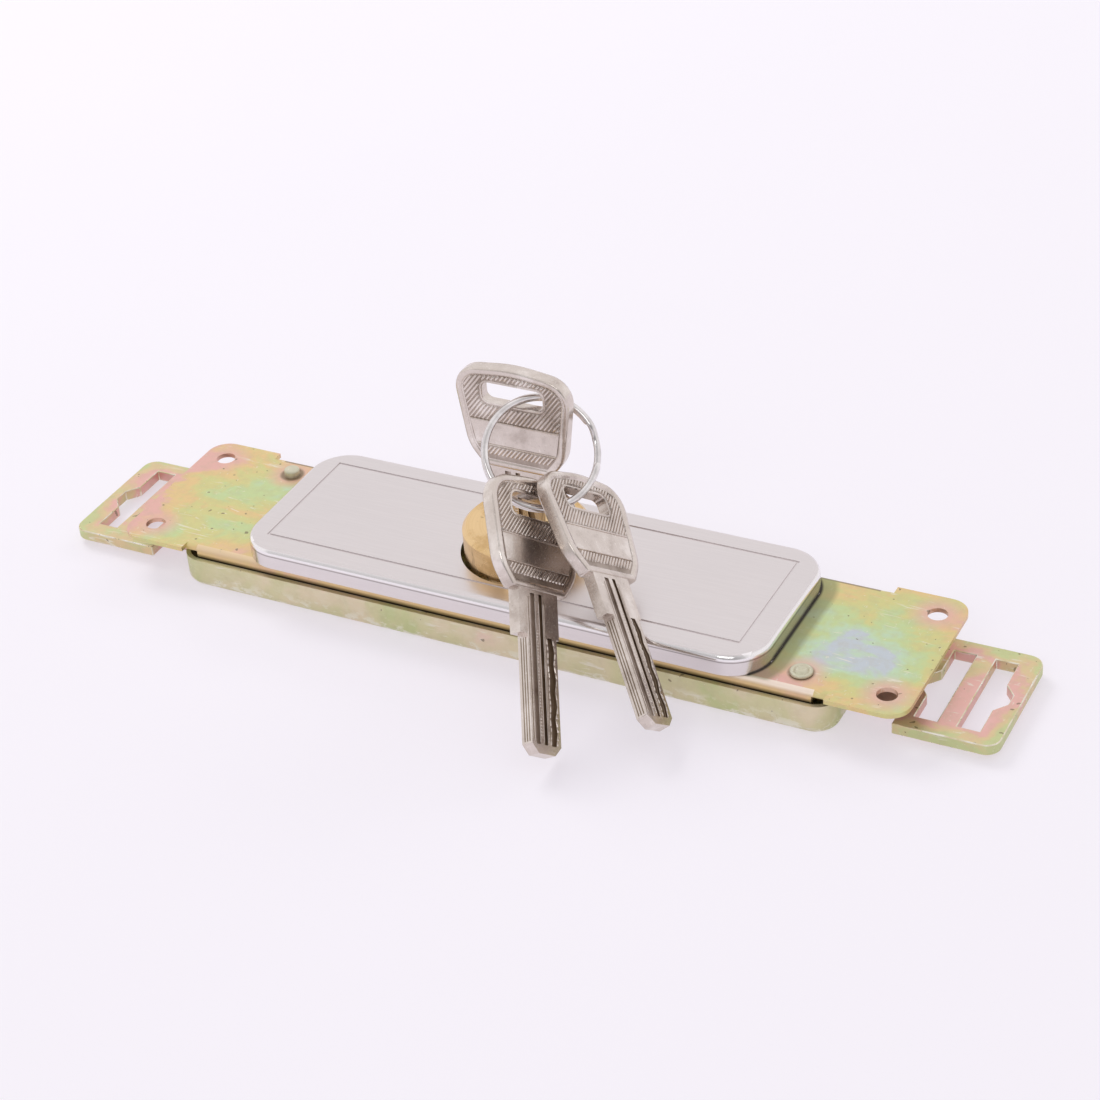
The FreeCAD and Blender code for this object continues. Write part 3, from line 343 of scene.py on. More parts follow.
def stainless():
    """Satin top, smoother bends and walls, with a painted highlight along the bend, a painted shade line
    below it and a painted highlight in the pressed line.
    """
    n = Nodes("stainless_cover")
    _, _, z = n.split()
    brushed = n.noise(2600, 3, 0.6, (0.035, 1, 1))
    cloud = n.noise(60, 3, 0.5)
    tone = n.ramp(n.levels(brushed, 0.35, 0.7), [(0.0, (0.745, 0.695, 0.69)), (1.0, (0.775, 0.725, 0.72))])
    tone = n.mix(n.levels(cloud, 0.4, 0.7, 0.0, 0.25), tone, (0.72, 0.68, 0.68))
    line_low, line_full = COVER_TOP - 1.93 * MM, COVER_TOP - 1.85 * MM
    line_end, bend_low = COVER_TOP - 1.65 * MM, COVER_TOP - 1.53 * MM
    bend_full, bend_end = COVER_TOP - 1.35 * MM, COVER_TOP - 0.55 * MM
    # Painted highlight: a pale band along the bend round the top.
    bend = n.band(z, (bend_low, bend_full), (bend_end, COVER_TOP - 0.30 * MM))
    tone = n.paint(tone, bend, (0.93, 0.91, 0.91), 0.85)
    # Painted shade: a thin dark line on the wall below the bend.
    line = n.band(z, (line_low, line_full), (line_end, bend_low))
    tone = n.paint(tone, line, (0.30, 0.27, 0.26), 0.7)
    # Painted highlight in the pressed line at the sides and in front.
    tone = n.paint(tone, pressed_line_highlight(n), (1.0, 0.97, 0.97), 0.9)
    n.set(Base_Color=tone, Metallic=0.96)
    top = n.math("GREATER_THAN", z, COVER_FLAT)
    satin = n.levels(brushed, 0.3, 0.7, 0.28, 0.34)
    bright = n.levels(cloud, 0.3, 0.7, 0.13, 0.20)
    rough = n.add("ShaderNodeMix", {"Factor": top, "A": bright, "B": satin}, data_type="FLOAT")
    n.set(Roughness=rough.outputs[0])
    scratch = n.levels(n.noise(700, 2, 0.5, (1, 0.1, 1), warp=2.0), 0.64, 0.67)
    n.set(Normal=n.bump(n.total(n.product(brushed, 0.4), n.product(scratch, 0.5)), 0.06, 0.1 * MM))
    return n.material


def turned(name, deep, bright, rings):
    """Turned metal: fine rings round the cylinder's axis, stains and dark spots."""
    n = Nodes(name)
    x, y, z = n.split()
    place = n.add("ShaderNodeCombineXYZ", {"X": n.length(x, y), "Y": z}).outputs[0]
    ring = n.add("ShaderNodeTexNoise", {"Vector": place, "Scale": rings, "Detail": 3.0}).outputs["Fac"]
    stain = n.noise(140, 4, 0.6)
    tone = n.ramp(n.levels(stain, 0.3, 0.72), [(0.0, deep), (0.6, bright), (1.0, bright)])
    tone = n.mix(n.levels(ring, 0.45, 0.7, 0.0, 0.3), tone, deep)
    dark = n.levels(n.noise(500, 2, 0.5, (1, 1, 0.3)), 0.66, 0.72)
    tone = n.paint(tone, dark, (0.30, 0.20, 0.09), 0.5)
    n.set(Base_Color=tone, Metallic=0.95, Roughness=n.levels(stain, 0.3, 0.7, 0.22, 0.36))
    n.set(Normal=n.bump(ring, 0.25, 0.2 * MM))
    return n.material


def stamped(name, rough, dark, middle, light):
    """Nickel silver of the keys: warm grey, rubbed bright, with dirt in the fine grain."""
    n = Nodes(name)
    cloud = n.noise(160, 4, 0.6)
    grain = n.noise(2400, 4, 0.65)
    tone = n.ramp(n.levels(cloud, 0.3, 0.7), [(0.0, dark), (0.5, middle), (1.0, light)])
    tone = n.mix(n.levels(grain, 0.58, 0.78, 0.0, 0.3), tone, [0.55 * c for c in dark])
    worn = n.levels(n.noise(1500, 3, 0.7, (1, 1, 0.5), (2, 0, 1)), 0.62, 0.7)
    tone = n.paint(tone, worn, [min(1.25 * c, 1.0) for c in light], 0.4)
    n.set(Base_Color=tone, Metallic=0.95, Roughness=n.levels(grain, 0.3, 0.7, rough, rough + 0.12))
    n.set(Normal=n.bump(grain, 0.07, 0.1 * MM))
    return n.material


def wire(name, dark, light):
    """Drawn wire, a little duller in places."""
    n = Nodes(name)
    cloud = n.noise(300, 3, 0.6)
    fine = n.noise(3000, 3, 0.6)
    n.set(Base_Color=n.ramp(n.levels(cloud, 0.3, 0.7), [(0.0, dark), (1.0, light)]), Metallic=1.0)
    n.set(Roughness=n.levels(fine, 0.3, 0.7, 0.12, 0.2))
    n.set(Normal=n.bump(fine, 0.06, 0.1 * MM))
    return n.material


steel_finish = stainless()
brass_finish = turned("brass_body", (0.62, 0.40, 0.17), (0.86, 0.62, 0.33), 3200)
plug_finish = turned("brass_plug", (0.58, 0.39, 0.18), (0.83, 0.62, 0.35), 4200)
key_finish = stamped("nickel_silver", 0.17, (0.54, 0.47, 0.42), (0.69, 0.615, 0.56), (0.83, 0.765, 0.715))
# Darker copies of the keys' metal as painted shade: the first for the bow's dish floor and the blade's
# grooves on one side, the second for the other grooves and the dark lines on the blade and its narrow
# sides.
key_recess_shade = stamped("nickel_recess_shade", 0.32, (0.31, 0.25, 0.205), (0.43, 0.36, 0.31), (0.57, 0.50, 0.445))
key_groove_shade = stamped("nickel_groove_shade", 0.28, (0.19, 0.14, 0.10), (0.27, 0.21, 0.155), (0.38, 0.30, 0.235))
wire_finish = wire("drawn_wire", (0.66, 0.63, 0.62), (0.88, 0.85, 0.84))
# A dark copy of the wire, painted shade where the two turns meet.
wire_crevice_shade = wire("wire_crevice_shade", (0.10, 0.08, 0.075), (0.19, 0.165, 0.155))


def shown(name, mesh, body, finish, node):
    """A piece in the scene that rides on a body, in place of a CAD node."""
    piece = bpy.data.objects.new(name, mesh)
    scene.collection.objects.link(piece)
    mesh.materials.clear()
    mesh.materials.append(finish)
    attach(piece, body)
    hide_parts(node)
    return piece


def settled(piece):
    """Applies the piece's modifiers to its mesh."""
    bpy.context.view_layer.update()
    graph = bpy.context.evaluated_depsgraph_get()
    mesh = bpy.data.meshes.new_from_object(piece.evaluated_get(graph), depsgraph=graph)
    piece.modifiers.clear()
    piece.data = mesh


def smoothed(piece, angle=36):
    """Smooth shading with flat faces kept flat and sharp edges kept sharp."""
    piece.data.shade_smooth()
    piece.data.set_sharp_from_angle(angle=math.radians(angle))
    piece.modifiers.new("Weights", "WEIGHTED_NORMAL").keep_sharp = True
    settled(piece)


def finer(node, body, finish, slot, width=0.12, segments=2, angle=28, edge=None, trim=None, extra=None):
    """A finer copy of a CAD node: welded, its flat faces whole, its edges rounded, with added relief."""
    bm = bmesh.new()
    bm.from_mesh(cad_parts[node].data)
    bmesh.ops.remove_doubles(bm, verts=bm.verts, dist=0.003 * MM)
    bmesh.ops.dissolve_limit(bm, angle_limit=math.radians(0.3), verts=bm.verts, edges=bm.edges)
    if trim:
        trim(bm)
    mesh = bpy.data.meshes.new(node + "_fine")
    bm.to_mesh(mesh)
    bm.free()
    piece = shown(node + "_fine", mesh, body, finish, node)
    bevel = piece.modifiers.new("Edges", "BEVEL")
    bevel.width = width * MM
    bevel.segments = segments
    bevel.limit_method = "ANGLE"
    bevel.angle_limit = math.radians(angle)
    if edge:
        mesh.materials.append(edge)
        bevel.material = 1
    settled(piece)
    if extra:
        bm = bmesh.new()
        bm.from_mesh(piece.data)
        extra(bm)
        bm.to_mesh(piece.data)
        bm.free()
    smoothed(piece)
    return piece


def lofted(bm, rows, slot=0):
    """Faces between closed rows of points, with flat ends."""
    made = [[bm.verts.new(p) for p in row] for row in rows]
    faces = [bm.faces.new(made[0][::-1]), bm.faces.new(made[-1])]
    for low, high in zip(made, made[1:]):
        for k in range(len(low)):
            after = (k + 1) % len(low)
            faces.append(bm.faces.new((low[k], low[after], high[after], high[k])))
    for face in faces:
        face.material_index = slot
    return faces


def built(name, fill):
    """A mesh that a function fills, with its normals set right."""
    bm = bmesh.new()
    fill(bm)
    bmesh.ops.recalc_face_normals(bm, faces=bm.faces)
    mesh = bpy.data.meshes.new(name)
    bm.to_mesh(mesh)
    bm.free()
    return mesh


# The key, in its own frame and millimetres: x across, v up from the tip, y through the sheet.
BLADE_TOP, BLADE_HALF = 31.9, 4.1
SLOT_MIDDLE = 48.9
# Half thicknesses of the blade and of the bow's dished floor.
BLADE_FACE, DISH_FLOOR = 1.3, 1.1
# How far below its top the CAD blade is cut, and how far its cut end is pushed up into the new bow.
CUT_BELOW, PUSHED_IN = 0.02, 0.7
# Where the blade's faces are grooves: how far out, up and below the face, and where the dark ones begin.
GROOVE_HALF, GROOVE_FOOT, GROOVE_TOP = 3.9, 1.9, BLADE_TOP - 0.4
GROOVE_LEVEL, GROOVE_PART = BLADE_FACE - 0.06, -1.2
# Material slots of a key.
FACE, RECESS, GROOVE = 0, 1, 2
# The bare band: its foot and top, how far it ends inside the bow, its height and its two bars.
BAND = (36.9, 42.3)
BAND_INSET, BAND_RISE, BAR_HEIGHT, BAR_WIDTH = 1.72, 0.1, 0.3, 0.42
# The diagonal ridges: where they begin, where their middle line crosses, and how many lie on each side.
HATCH_FOOT, HATCH_MIDDLE, HATCH_SIDE = 34.6, 43.5, 28
RIDGE_PITCH, RIDGE_SLOPE = 0.72, math.radians(52)
RIDGE_WIDTH, RIDGE_HEIGHT, LEAST_RIDGE = 0.58, 0.27, 0.7
# What the ridges keep clear of: the bow's rim, the slot's rim and the band.
CLEAR_OF_RIM, CLEAR_OF_SLOT, CLEAR_OF_BAND = 1.75, 0.75, 0.35
# How deep a ridge's sides go into the floor, and how long its sloping ends are.
RIDGE_SINK, RIDGE_END = 0.05, 0.2
# The milled track's swing to the side at each of its even steps, as in the CAD, and its two edges:
# where each lies without a swing and how much of the swing it takes.
TRACK_SWING = (0.0, 0.6, 0.1, 0.9, 0.4, 1.0, 0.25, 0.75, 0.0)
TRACK_LOW, TRACK_STEP = 1.8, 2.65
TRACK_OUTER, TRACK_INNER = (2.7, 0.8), (1.4, 0.4)
# Burrs: from and to where in each step of the track, and how wide the outer one is.
BURRS = ((0.06, 0.42, 0.5), (0.48, 0.93, 0.38))
# Ticks across the blade: how many, the lowest, their pitch, their two ends, height and width.
TICKS, TICK_LOW, TICK_PITCH, TICK_ENDS = 34, 3.6, 0.62, (-1.55, -0.8)
TICK_HEIGHT, TICK_WIDTH = 0.07, 0.34
# Lines along the blade: x, foot, top, level of the foot, height, width and material slot.
BLADE_LINES = (
    *((x, 2.3, 29.6, BLADE_FACE, 0.06, 0.16, FACE) for x in (-1.72, -0.66, 0.42, 0.78)),
    *((x, 2.6, 30.2, BLADE_FACE, 0.05, 0.2, FACE) for x in (-3.85, -3.25)),
    (-3.55, 2.5, 30.6, BLADE_FACE - 0.03, 0.045, 0.26, GROOVE),
    (0.6, 2.5, 30.6, BLADE_FACE - 0.03, 0.045, 0.16, GROOVE),
    (1.05, 2.5, 30.6, BLADE_FACE - 0.03, 0.045, 0.14, GROOVE),
)
# Dark lines on the blade's narrow sides: their y, foot and top, width and how far they stand out.
SIDE_LINES = (-0.72, -0.1, 0.52)
SIDE_SPAN, SIDE_WIDTH, SIDE_HEIGHT = (2.2, 22.4), 0.26, 0.02
# Corners of the bow and of its slot: x, v and the radius of the rounding.
BOW_RIGHT = [(7.5, 31.9, 0.8), (10.8, 36.1, 9.0), (13.2, 53.52, 5.2)]
BOW = BOW_RIGHT + [(0.0, 55.2, 30.0)] + [(-x, v, r) for x, v, r in BOW_RIGHT[::-1]]
SLOT = [(6.7, 46.7, 1.4), (6.7, 51.1, 1.4), (-6.7, 51.1, 1.4), (-6.7, 46.7, 1.4)]
# The bow's section from the slot's wall to the outer wall: outline, how far inside it, half thickness.
BOW_SECTION = (
    (SLOT, 0.0, 1.02),
    (SLOT, -0.12, 1.2),
    (SLOT, -0.38, 1.2),
    (SLOT, -0.5, DISH_FLOOR),
    (BOW, 1.62, DISH_FLOOR),
    (BOW, 1.42, 1.4),
    (BOW, 1.05, 1.5),
    (BOW, 0.5, 1.5),
    (BOW, 0.14, 1.33),
    (BOW, 0.0, 0.98),
)
# Which strip of the section is the dish's floor.
FLOOR_STRIP = 3


def inset(corners, depth):
    """The corners of a convex outline, moved inside it by depth."""
    moved = []
    count = len(corners)
    for i, (x, v, radius) in enumerate(corners):
        before, here, after = (Vector(corners[(i + k) % count][:2]) for k in (-1, 0, 1))
        way_in, way_out = (here - before).normalized(), (after - here).normalized()
        first, second = Vector((-way_in.y, way_in.x)), Vector((-way_out.y, way_out.x))
        spot = here + (first + second) * depth / (1 + first.dot(second))
        moved.append((spot.x, spot.y, max(radius - depth, 0.35)))
    return moved


def rounded(corners, steps=8):
    """The points of an outline, each corner rounded by an arc."""
    points = []
    count = len(corners)
    for i, (x, v, radius) in enumerate(corners):
        before, here, after = (Vector(corners[(i + k) % count][:2]) for k in (-1, 0, 1))
        back, ahead = (before - here).normalized(), (after - here).normalized()
        half = back.angle(ahead) / 2
        centre = here + (back + ahead).normalized() * radius / math.sin(half)
        start = here + back * radius / math.tan(half) - centre
        end = here + ahead * radius / math.tan(half) - centre
        first = math.atan2(start.y, start.x)
        turn = (math.atan2(end.y, end.x) - first + math.pi) % math.tau - math.pi
        for k in range(steps + 1):
            angle = first + turn * k / steps
            points.append(centre + radius * Vector((math.cos(angle), math.sin(angle))))
    return points


def seen_from(centre, points, angles):
    """Where rays from a point inside a convex outline meet it."""
    hits = []
    for angle in angles:
        way = Vector((math.cos(angle), math.sin(angle)))
        for a, b in zip(points, points[1:] + points[:1]):
            side, gap = b - a, a - centre
            cross = way.x * side.y - way.y * side.x
            if abs(cross) < 1e-12:
                continue
            far = (gap.x * side.y - gap.y * side.x) / cross
            along = (gap.x * way.y - gap.y * way.x) / cross
            if far > 0 and -1e-9 <= along <= 1 + 1e-9:
                hits.append(centre + way * far)
                break
    return hits


def bow_rings():
    """The bow as closed rings of points (x, y, v), all with as many points."""
    centre = Vector((0, SLOT_MIDDLE))
    # Rays through the points of the rounded corners and at every five degrees, none of them too close.
    marks = [p - centre for p in rounded(BOW) + rounded(SLOT)]
    wanted = sorted([math.atan2(m.y, m.x) for m in marks] + [math.radians(5 * k - 180) for k in range(72)])
    angles = [wanted[0]]
    for angle in wanted[1:]:
        if angle - angles[-1] > math.radians(0.6):
            angles.append(angle)
    rings = []
    for corners, depth, level in BOW_SECTION:
        flat = seen_from(centre, rounded(inset(corners, depth)), angles)
        rings.append([Vector((p.x, -level, p.y)) for p in flat])
    return rings + [[Vector((p.x, -p.y, p.z)) for p in ring] for ring in rings[::-1]]


def within(points, x, v, way):
    """The stretch of a line through (x, v) that lies in a convex outline, as two lengths along way."""
    low, high = -100.0, 100.0
    for a, b in zip(points, points[1:] + points[:1]):
        inward = Vector((a.y - b.y, b.x - a.x))
        pace = inward.dot(way)
        room = inward.dot(Vector((x, v)) - a)
        if abs(pace) < 1e-9:
            if room < 0:
                return None
        elif pace > 0:
            low = max(low, -room / pace)
        else:
            high = min(high, -room / pace)
    return (low, high) if high > low else None


def strip(low, high):
    """A rectangle right across the key between two heights."""
    return [Vector(p) for p in ((-20, low), (20, low), (20, high), (-20, high))]


def hatch_spans():
    """Straight stretches of the diagonal ridges, as pairs of points (x, v)."""
    field = rounded(inset(BOW, CLEAR_OF_RIM))
    kept_clear = (
        rounded(inset(SLOT, -CLEAR_OF_SLOT)),
        strip(BAND[0] - CLEAR_OF_BAND, BAND[1] + CLEAR_OF_BAND),
        strip(BLADE_TOP, HATCH_FOOT),
    )
    way = Vector((math.cos(RIDGE_SLOPE), math.sin(RIDGE_SLOPE)))
    spans = []
    for k in range(-HATCH_SIDE, HATCH_SIDE + 1):
        x, v = -way.y * k * RIDGE_PITCH, way.x * k * RIDGE_PITCH + HATCH_MIDDLE
        whole = within(field, x, v, way)
        runs = [whole] if whole else []
        for area in kept_clear:
            gap = within(area, x, v, way)
            if gap:
                parts = [((a, min(b, gap[0])), (max(a, gap[1]), b)) for a, b in runs]
                runs = [run for pair in parts for run in pair if run[1] > run[0]]
        for a, b in runs:
            if b - a > LEAST_RIDGE:
                spans.append(((x + way.x * a, v + way.y * a), (x + way.x * b, v + way.y * b)))
    return spans


def ridge(bm, place, start, end, side, base, height, width, slot=FACE):
    """A low rounded bar on one face of the key, its ends run down into the floor."""
    a, b = Vector((start[0], 0, start[1])), Vector((end[0], 0, end[1]))
    along = (b - a).normalized()
    out = Vector((0, side, 0))
    over = along.cross(out)
    half = ((-0.5, -RIDGE_SINK), (-0.36, height * 0.7), (-0.14, height))
    profile = half + tuple((-off, up) for off, up in half[::-1])
    run_out = along * min(RIDGE_END, (b - a).length / 3)
    rows = []
    for at, raised in ((a, False), (a + run_out, True), (b - run_out, True), (b, False)):
        row = []
        for off, up in profile:
            level = base + (up if raised else -0.4 * RIDGE_SINK)
            row.append(place @ ((at + over * off * width + out * level) * MM))
        rows.append(row)
    lofted(bm, rows, slot)


def side_line(bm, place, edge, y):
    """A dark line along one narrow side of the blade, half sunk in it."""
    out, half = math.copysign(SIDE_HEIGHT, edge), SIDE_WIDTH / 2
    inner, outer = edge - out, edge + out
    corners = ((inner, y - half), (outer, y - half), (outer, y + half), (inner, y + half))
    rows = [[place @ (Vector((x, through, v)) * MM) for x, through in corners] for v in SIDE_SPAN]
    lofted(bm, rows, GROOVE)


def plain_band(bm, place, side):
    """The bare band across the bow: a thin raised plate between two bars."""
    field = rounded(inset(BOW, BAND_INSET))
    rows = []
    for v in BAND:
        low, high = within(field, 0.0, v, Vector((1, 0)))
        corners = ((low, -RIDGE_SINK), (low, BAND_RISE), (high, BAND_RISE), (high, -RIDGE_SINK))
        rows.append([place @ (Vector((x, side * (DISH_FLOOR + up), v)) * MM) for x, up in corners])
        ridge(bm, place, (low, v), (high, v), side, DISH_FLOOR, BAR_HEIGHT, BAR_WIDTH)
    lofted(bm, rows)


def milled_beads(bm, place, side):
    """Burrs that the cutter left along both edges of the wavy track."""
    for i, (here, after) in enumerate(zip(TRACK_SWING, TRACK_SWING[1:])):
        height = 0.07 + 0.02 * ((3 * i) % 4)
        for *shares, wide in BURRS:
            swings = [here + (after - here) * share for share in shares]
            heights = [TRACK_LOW + (i + share) * TRACK_STEP for share in shares]
            for (still, swung), beside, width in ((TRACK_OUTER, 0.3, wide), (TRACK_INNER, -0.16, 0.3)):
                ends = [(still + swung * swing + beside, v) for swing, v in zip(swings, heights)]
                ridge(bm, place, *ends, side, BLADE_FACE, height, width)


def key_parts(place, milled):
    """What makes a CAD key fine: the blade is kept, the bow is built anew with its relief."""
    spans = hatch_spans()
    rings = bow_rings()
    up = place.to_3x3() @ Vector((0, 0, 1))
    local = place.inverted()

    def trim(bm):
        cut_at = place @ Vector((0, 0, (BLADE_TOP - CUT_BELOW) * MM))
        whole = bm.verts[:] + bm.edges[:] + bm.faces[:]
        bmesh.ops.bisect_plane(bm, geom=whole, dist=1e-7, plane_co=cut_at, plane_no=up, clear_outer=True)
        rim = [edge for edge in bm.edges if edge.is_boundary]
        ends = {vert for edge in rim for vert in edge.verts}
        bmesh.ops.contextual_create(bm, geom=rim)
        for vert in ends:
            vert.co += up * PUSHED_IN * MM

    def mark_grooves(bm):
        for face in bm.faces:
            spot = local @ face.calc_center_median() / MM
            sunk = abs(spot.x) < GROOVE_HALF and abs(spot.y) < GROOVE_LEVEL
            if sunk and GROOVE_FOOT < spot.z < GROOVE_TOP:
                face.material_index = RECESS if spot.x < GROOVE_PART else GROOVE

    def add_bow(bm):
        made = [[bm.verts.new(place @ (p * MM)) for p in ring] for ring in rings]
        count = len(made)
        for i, ring in enumerate(made):
            after = made[(i + 1) % count]
            slot = RECESS if i in (FLOOR_STRIP, count - 2 - FLOOR_STRIP) else FACE
            for k in range(len(ring)):
                j = (k + 1) % len(ring)
                bm.faces.new((ring[k], ring[j], after[j], after[k])).material_index = slot

    def extra(bm):
        mark_grooves(bm)
        add_bow(bm)
        for side in (-1, 1):
            for (x0, v0), (x1, v1) in spans:
                ends = (-side * x0, v0), (-side * x1, v1)
                ridge(bm, place, *ends, side, DISH_FLOOR, RIDGE_HEIGHT, RIDGE_WIDTH)
            plain_band(bm, place, side)
            for k in range(TICKS):
                ends = [(x, TICK_LOW + k * TICK_PITCH) for x in TICK_ENDS]
                ridge(bm, place, *ends, side, BLADE_FACE, TICK_HEIGHT, TICK_WIDTH)
            for x, low, high, level, height, width, slot in BLADE_LINES:
                ridge(bm, place, (x, low), (x, high), side, level, height, width, slot)
            if milled:
                milled_beads(bm, place, side)
        for edge in (-BLADE_HALF, BLADE_HALF):
            for y in SIDE_LINES:
                side_line(bm, place, edge, y)
        bmesh.ops.recalc_face_normals(bm, faces=bm.faces)

    return {"trim": trim, "extra": extra}


def key_place(spot, yaw, pitch, roll):
    """Where a key stands, from its slot's middle in millimetres and three turns in degrees."""
    turn = Matrix.Rotation(math.radians(yaw), 3, "Z")
    turn = turn @ Matrix.Rotation(math.radians(pitch), 3, "X")
    turn = turn @ Matrix.Rotation(math.radians(roll), 3, "Y")
    lift = turn @ Vector((0, 0, SLOT_MIDDLE * MM))
    return Matrix.Translation(Vector(spot) * MM - lift) @ turn.to_4x4()


# The keys' places as in the CAD. The inserted key stands upright, its tip in the plug.
TIP_HEIGHT = 1.45
KEYS = (
    ("inserted_key", "key", Matrix.Translation((0, 0, TIP_HEIGHT * MM))),
    ("spare_key_front", "spare_front", key_place((10.06, -14.89, 34.77), 89.8, -28.9, 43.5)),
    ("spare_key_side", "spare_side", key_place((16.34, -5.46, 31.87), 104.9, -37.9, 48.1)),
)
for node, body, place in KEYS:
    # The inserted key's track is in the plug, so it has no burrs.
    piece = finer(node, body, key_finish, "nickel_silver", 0.2, 2, 30, **key_parts(place, body != "key"))
    piece.data.materials.append(key_recess_shade)
    piece.data.materials.append(key_groove_shade)


# The split ring, in millimetres and degrees; its place is as in the CAD.
RING_RADIUS = 11.2
RING_CENTRE = Vector((7.9, -5.16, 41.61))
RING_YAW, RING_TILT = 40.0, 47.6
# Half sizes of the flattened wire, and how far each turn's middle lies from the ring's.
WIRE_OUT, WIRE_ALONG, TURN_OFFSET = 0.70, 0.61, 0.64
# Where the wire starts and ends in its two turns, and the step from one turn to the other.
WIRE_START, WIRE_END = 22.0, 698.0
STEP_START, STEP_LONG = 360.0, 20.0
WIRE_ROWS, WIRE_SIDES = 300, 16
# How much of the full section the rows next to a cut end have.
CUT_ENDS = (0.7, 0.93)
# The first turn's faces in the painted shade copy round its section: four towards the other turn and one on
# the far side.
DARK_SIDES = (2, 3, 4, 5, 11)


def ring_angle(i):
    """How far round the wire is at a row, in degrees."""
    return WIRE_START + (WIRE_END - WIRE_START) * i / WIRE_ROWS


def ring_rows():
    """The wire's sections along its two turns."""
    turn = Matrix.Rotation(math.radians(RING_YAW), 3, "Z")
    turn = turn @ Matrix.Rotation(math.radians(RING_TILT), 3, "X")
    axis = turn @ Vector((0, 0, 1))
    rows = []
    for i in range(WIRE_ROWS + 1):
        angle = ring_angle(i)
        share = min(max((angle - STEP_START) / STEP_LONG, 0.0), 1.0)
        level = TURN_OFFSET * (2 * share * share * (3 - 2 * share) - 1)
        out = turn @ Vector((math.cos(math.radians(angle)), math.sin(math.radians(angle)), 0))
        from_end = min(i, WIRE_ROWS - i)
        size = CUT_ENDS[from_end] if from_end < len(CUT_ENDS) else 1.0
        row = []
        for k in range(WIRE_SIDES):
            spin = math.tau * k / WIRE_SIDES
            shift = out * WIRE_OUT * math.cos(spin) + axis * WIRE_ALONG * math.sin(spin)
            row.append((RING_CENTRE + out * RING_RADIUS + axis * level + shift * size) * MM)
        rows.append(row)
    return rows


def split_ring():
    """Two close turns of flattened wire with cut ends; one slanting step takes the wire across."""

    def fill(bm):
        faces = lofted(bm, ring_rows())[2:]
        for i in range(WIRE_ROWS):
            angle = ring_angle(i)
            if STEP_START <= angle <= STEP_START + STEP_LONG:
                continue
            for k in DARK_SIDES:
                k = k if angle < STEP_START else (k + WIRE_SIDES // 2) % WIRE_SIDES
                faces[i * WIRE_SIDES + k].material_index = 1

    mesh = built("split_ring_wire", fill)
    piece = shown("split_ring_wire", mesh, "ring", wire_finish, "split_ring")
    piece.data.materials.append(wire_crevice_shade)
    smoothed(piece, 50)


split_ring()

finer("case_tray", "base", tray_finish, "yellow_zinc", 0.15, edge=tray_edge)
finer("face_plate", "base", plate_finish, "yellow_zinc", 0.16, edge=plate_edge)
finer("cover", "base", steel_finish, "stainless")
finer("cylinder_body", "base", brass_finish, "turned_brass")
finer("plug", "plug_and_cam", plug_finish, "turned_brass")
finer("right_bolt", "bolt_right", bolt_finish, "yellow_zinc", 0.22, 3, edge=bolt_edge)
finer("left_bolt", "bolt_left", bolt_finish, "yellow_zinc", 0.22, 3, edge=bolt_edge)

# The rivets' outlines, radius and height in mm: shank, shoulder between tray and plate, shank and head.
RIVET_FOOT = ((1.5, 0.0), (1.5, 1.0), (2.2, 1.0), (2.2, 8.4), (1.5, 8.4), (1.5, 9.4))
STUD_HEAD = ((1.7, 9.4), (1.7, 10.48), (1.62, 10.7), (1.42, 10.86), (1.2, 10.9), (0.3, 10.9))
# The peened head's rim, the ring sunk round its middle, and the middle with a dimple.
PEENED_RIM = ((2.2, 9.4), (2.3, 9.52), (2.3, 9.78), (2.2, 9.98), (2.0, 10.1), (1.75, 10.1))
PEENED_RING = ((1.55, 9.98), (1.45, 9.9), (1.33, 10.0), (1.15, 10.22))
PEENED_MIDDLE = ((0.9, 10.36), (0.6, 10.38), (0.42, 10.24), (0.2, 10.18))
RIVET_SIDES = 48


def rivet(node, spot, head):
    """A turned rivet in place of its plain CAD node."""
    x, y = spot
    turns = [math.tau * k / RIVET_SIDES for k in range(RIVET_SIDES)]
    rows = [
        [Vector((x + r * MM * math.cos(t), y + r * MM * math.sin(t), z * MM)) for t in turns]
        for r, z in RIVET_FOOT + head
    ]
    mesh = built(node + "_turned", lambda bm: lofted(bm, rows))
    smoothed(shown(node + "_turned", mesh, "base", small_finish, node), 34)


rivet("rivet_right", RIVETS[0], PEENED_RIM + PEENED_RING + PEENED_MIDDLE)
rivet("rivet_left", RIVETS[1], STUD_HEAD)

# The nodes inside the case are shown as they are.
HIDDEN = {
    "chamber_strip": brass_finish,
    "key_pins": plug_finish,
    "driver_pins": plug_finish,
    "driver_springs": wire_finish,
    "cylinder_screws": small_finish,
    "cam_disc": small_finish,
    "cam_screws": small_finish,
    "drive_studs": wire_finish,
    "strap_right": small_finish,
    "strap_left": small_finish,
}
for node, finish in HIDDEN.items():
    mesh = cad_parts[node].data
    mesh.materials.clear()
    mesh.materials.append(finish)


def pale_floor():
    """Pale and matt; camera and metals see it near white, with a part of the shadows kept."""
    n = Nodes("pale_floor")
    n.set(Base_Color=n.ramp(n.noise(9, 2), [(0.0, (0.90, 0.885, 0.92)), (1.0, (0.92, 0.905, 0.94))]))
    n.set(Roughness=0.9)
    rays = n.add("ShaderNodeLightPath").outputs
    seen = n.product(n.math("MAXIMUM", rays["Is Camera Ray"], rays["Is Glossy Ray"]), 0.55)
    white = n.add("ShaderNodeEmission", {"Color": (0.985, 0.925, 1.0, 1)})
    both = n.add("ShaderNodeMixShader", {0: seen, 1: n.shader.outputs[0], 2: white.outputs[0]})
    n.put(n.tree.nodes["Material Output"].inputs["Surface"], both.outputs[0])
    mesh = built("floor", lambda bm: bmesh.ops.create_grid(bm, x_segments=8, y_segments=8, size=3.0))
    mesh.materials.append(n.material)
    floor = bpy.data.objects.new("floor", mesh)
    scene.collection.objects.link(floor)


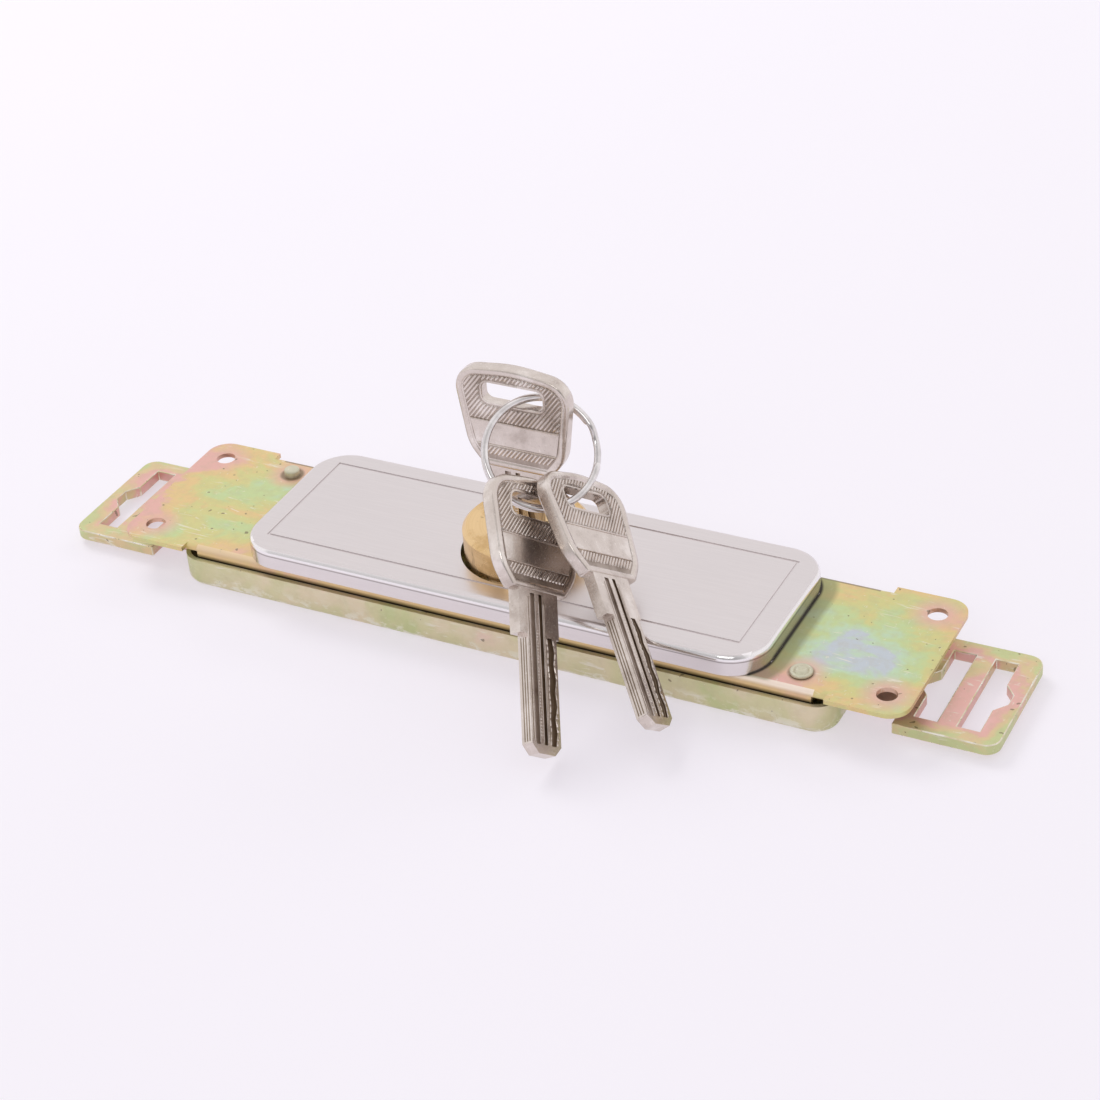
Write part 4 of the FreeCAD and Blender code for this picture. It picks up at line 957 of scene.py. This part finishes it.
def lamp(name, spot, aim, size, power, glossy=True):
    """A soft rectangular lamp, which metals mirror only if it is glossy."""
    data = bpy.data.lights.new(name, "AREA")
    data.shape = "RECTANGLE"
    data.size, data.size_y = size
    data.energy = power
    made = bpy.data.objects.new(name, data)
    made.location = spot
    made.rotation_euler = (Vector(aim) - Vector(spot)).to_track_quat("-Z", "Y").to_euler()
    made.visible_glossy = glossy
    scene.collection.objects.link(made)


def pale_world():
    """Pale all round, a little darker behind the camera for what metal mirrors."""
    world = bpy.data.worlds.new("pale_world")
    world.use_nodes = True
    n = Tree(world.node_tree)
    ambient = n.tree.nodes["Background"]
    n.put(ambient.inputs["Color"], (0.95, 0.94, 0.98, 1))
    n.put(ambient.inputs["Strength"], 0.62)
    rays = n.add("ShaderNodeLightPath").outputs
    seen = n.add("ShaderNodeBackground", {"Color": (0.945, 0.925, 0.955, 1)})
    way = n.add("ShaderNodeTexCoord").outputs["Generated"]
    behind = (0.20, -0.93, 0.31)
    ahead = n.add("ShaderNodeVectorMath", {0: way, 1: behind}, operation="DOT_PRODUCT").outputs["Value"]
    links = {"Value": ahead, "From Min": 0.55, "From Max": 0.95, "To Min": 1.0, "To Max": 0.4}
    dim = n.add("ShaderNodeMapRange", links).outputs[0]
    mirrored = n.add("ShaderNodeBackground", {"Color": (0.945, 0.925, 0.94, 1), "Strength": dim})
    links = {0: rays["Is Glossy Ray"], 1: ambient.outputs[0], 2: mirrored.outputs[0]}
    first = n.add("ShaderNodeMixShader", links)
    both = n.add("ShaderNodeMixShader", {0: rays["Is Camera Ray"], 1: first.outputs[0], 2: seen.outputs[0]})
    n.put(n.tree.nodes["World Output"].inputs["Surface"], both.outputs[0])
    scene.world = world


# The camera was solved from the plate's corners, holes and bolt heads in the photograph. The focal
# length is in widths of the picture.
AZIMUTH, ELEVATION, ROLL = math.radians(29.325), math.radians(33.630), math.radians(-4.726)
AIM, DISTANCE, FOCAL = Vector((-5.751, 19.324, 0)) * MM, 559.49 * MM, 2.3832
SENSOR = 36


def photo_camera():
    """The camera of the photograph, looking back along its own Z."""
    level = math.cos(ELEVATION)
    back = Vector((math.sin(AZIMUTH) * level, -math.cos(AZIMUTH) * level, math.sin(ELEVATION)))
    right = Vector((math.cos(AZIMUTH), math.sin(AZIMUTH), 0))
    up = back.cross(right)
    right_turned = math.cos(ROLL) * right + math.sin(ROLL) * up
    up_turned = -math.sin(ROLL) * right + math.cos(ROLL) * up
    pose = Matrix((right_turned, up_turned, back)).transposed().to_4x4()
    pose.translation = AIM + back * DISTANCE
    data = bpy.data.cameras.new("camera")
    data.sensor_width = SENSOR
    data.lens = FOCAL * SENSOR
    data.clip_start = 0.01
    data.clip_end = 20
    camera = bpy.data.objects.new("camera", data)
    scene.collection.objects.link(camera)
    camera.matrix_world = pose
    scene.camera = camera


pale_floor()
lamp("soft_left", (-0.80, 0.45, 0.95), (0, 0, 0), (0.6, 0.6), 7.0, glossy=False)
lamp("soft_front", (0.1, -1.1, 0.8), (0, 0, 0.02), (0.8, 0.4), 2.0)
lamp("soft_back", (0.3, 1.1, 0.7), (0, 0, 0.02), (0.9, 0.3), 2.0, glossy=False)
pale_world()
photo_camera()
scene.view_settings.view_transform = "Standard"
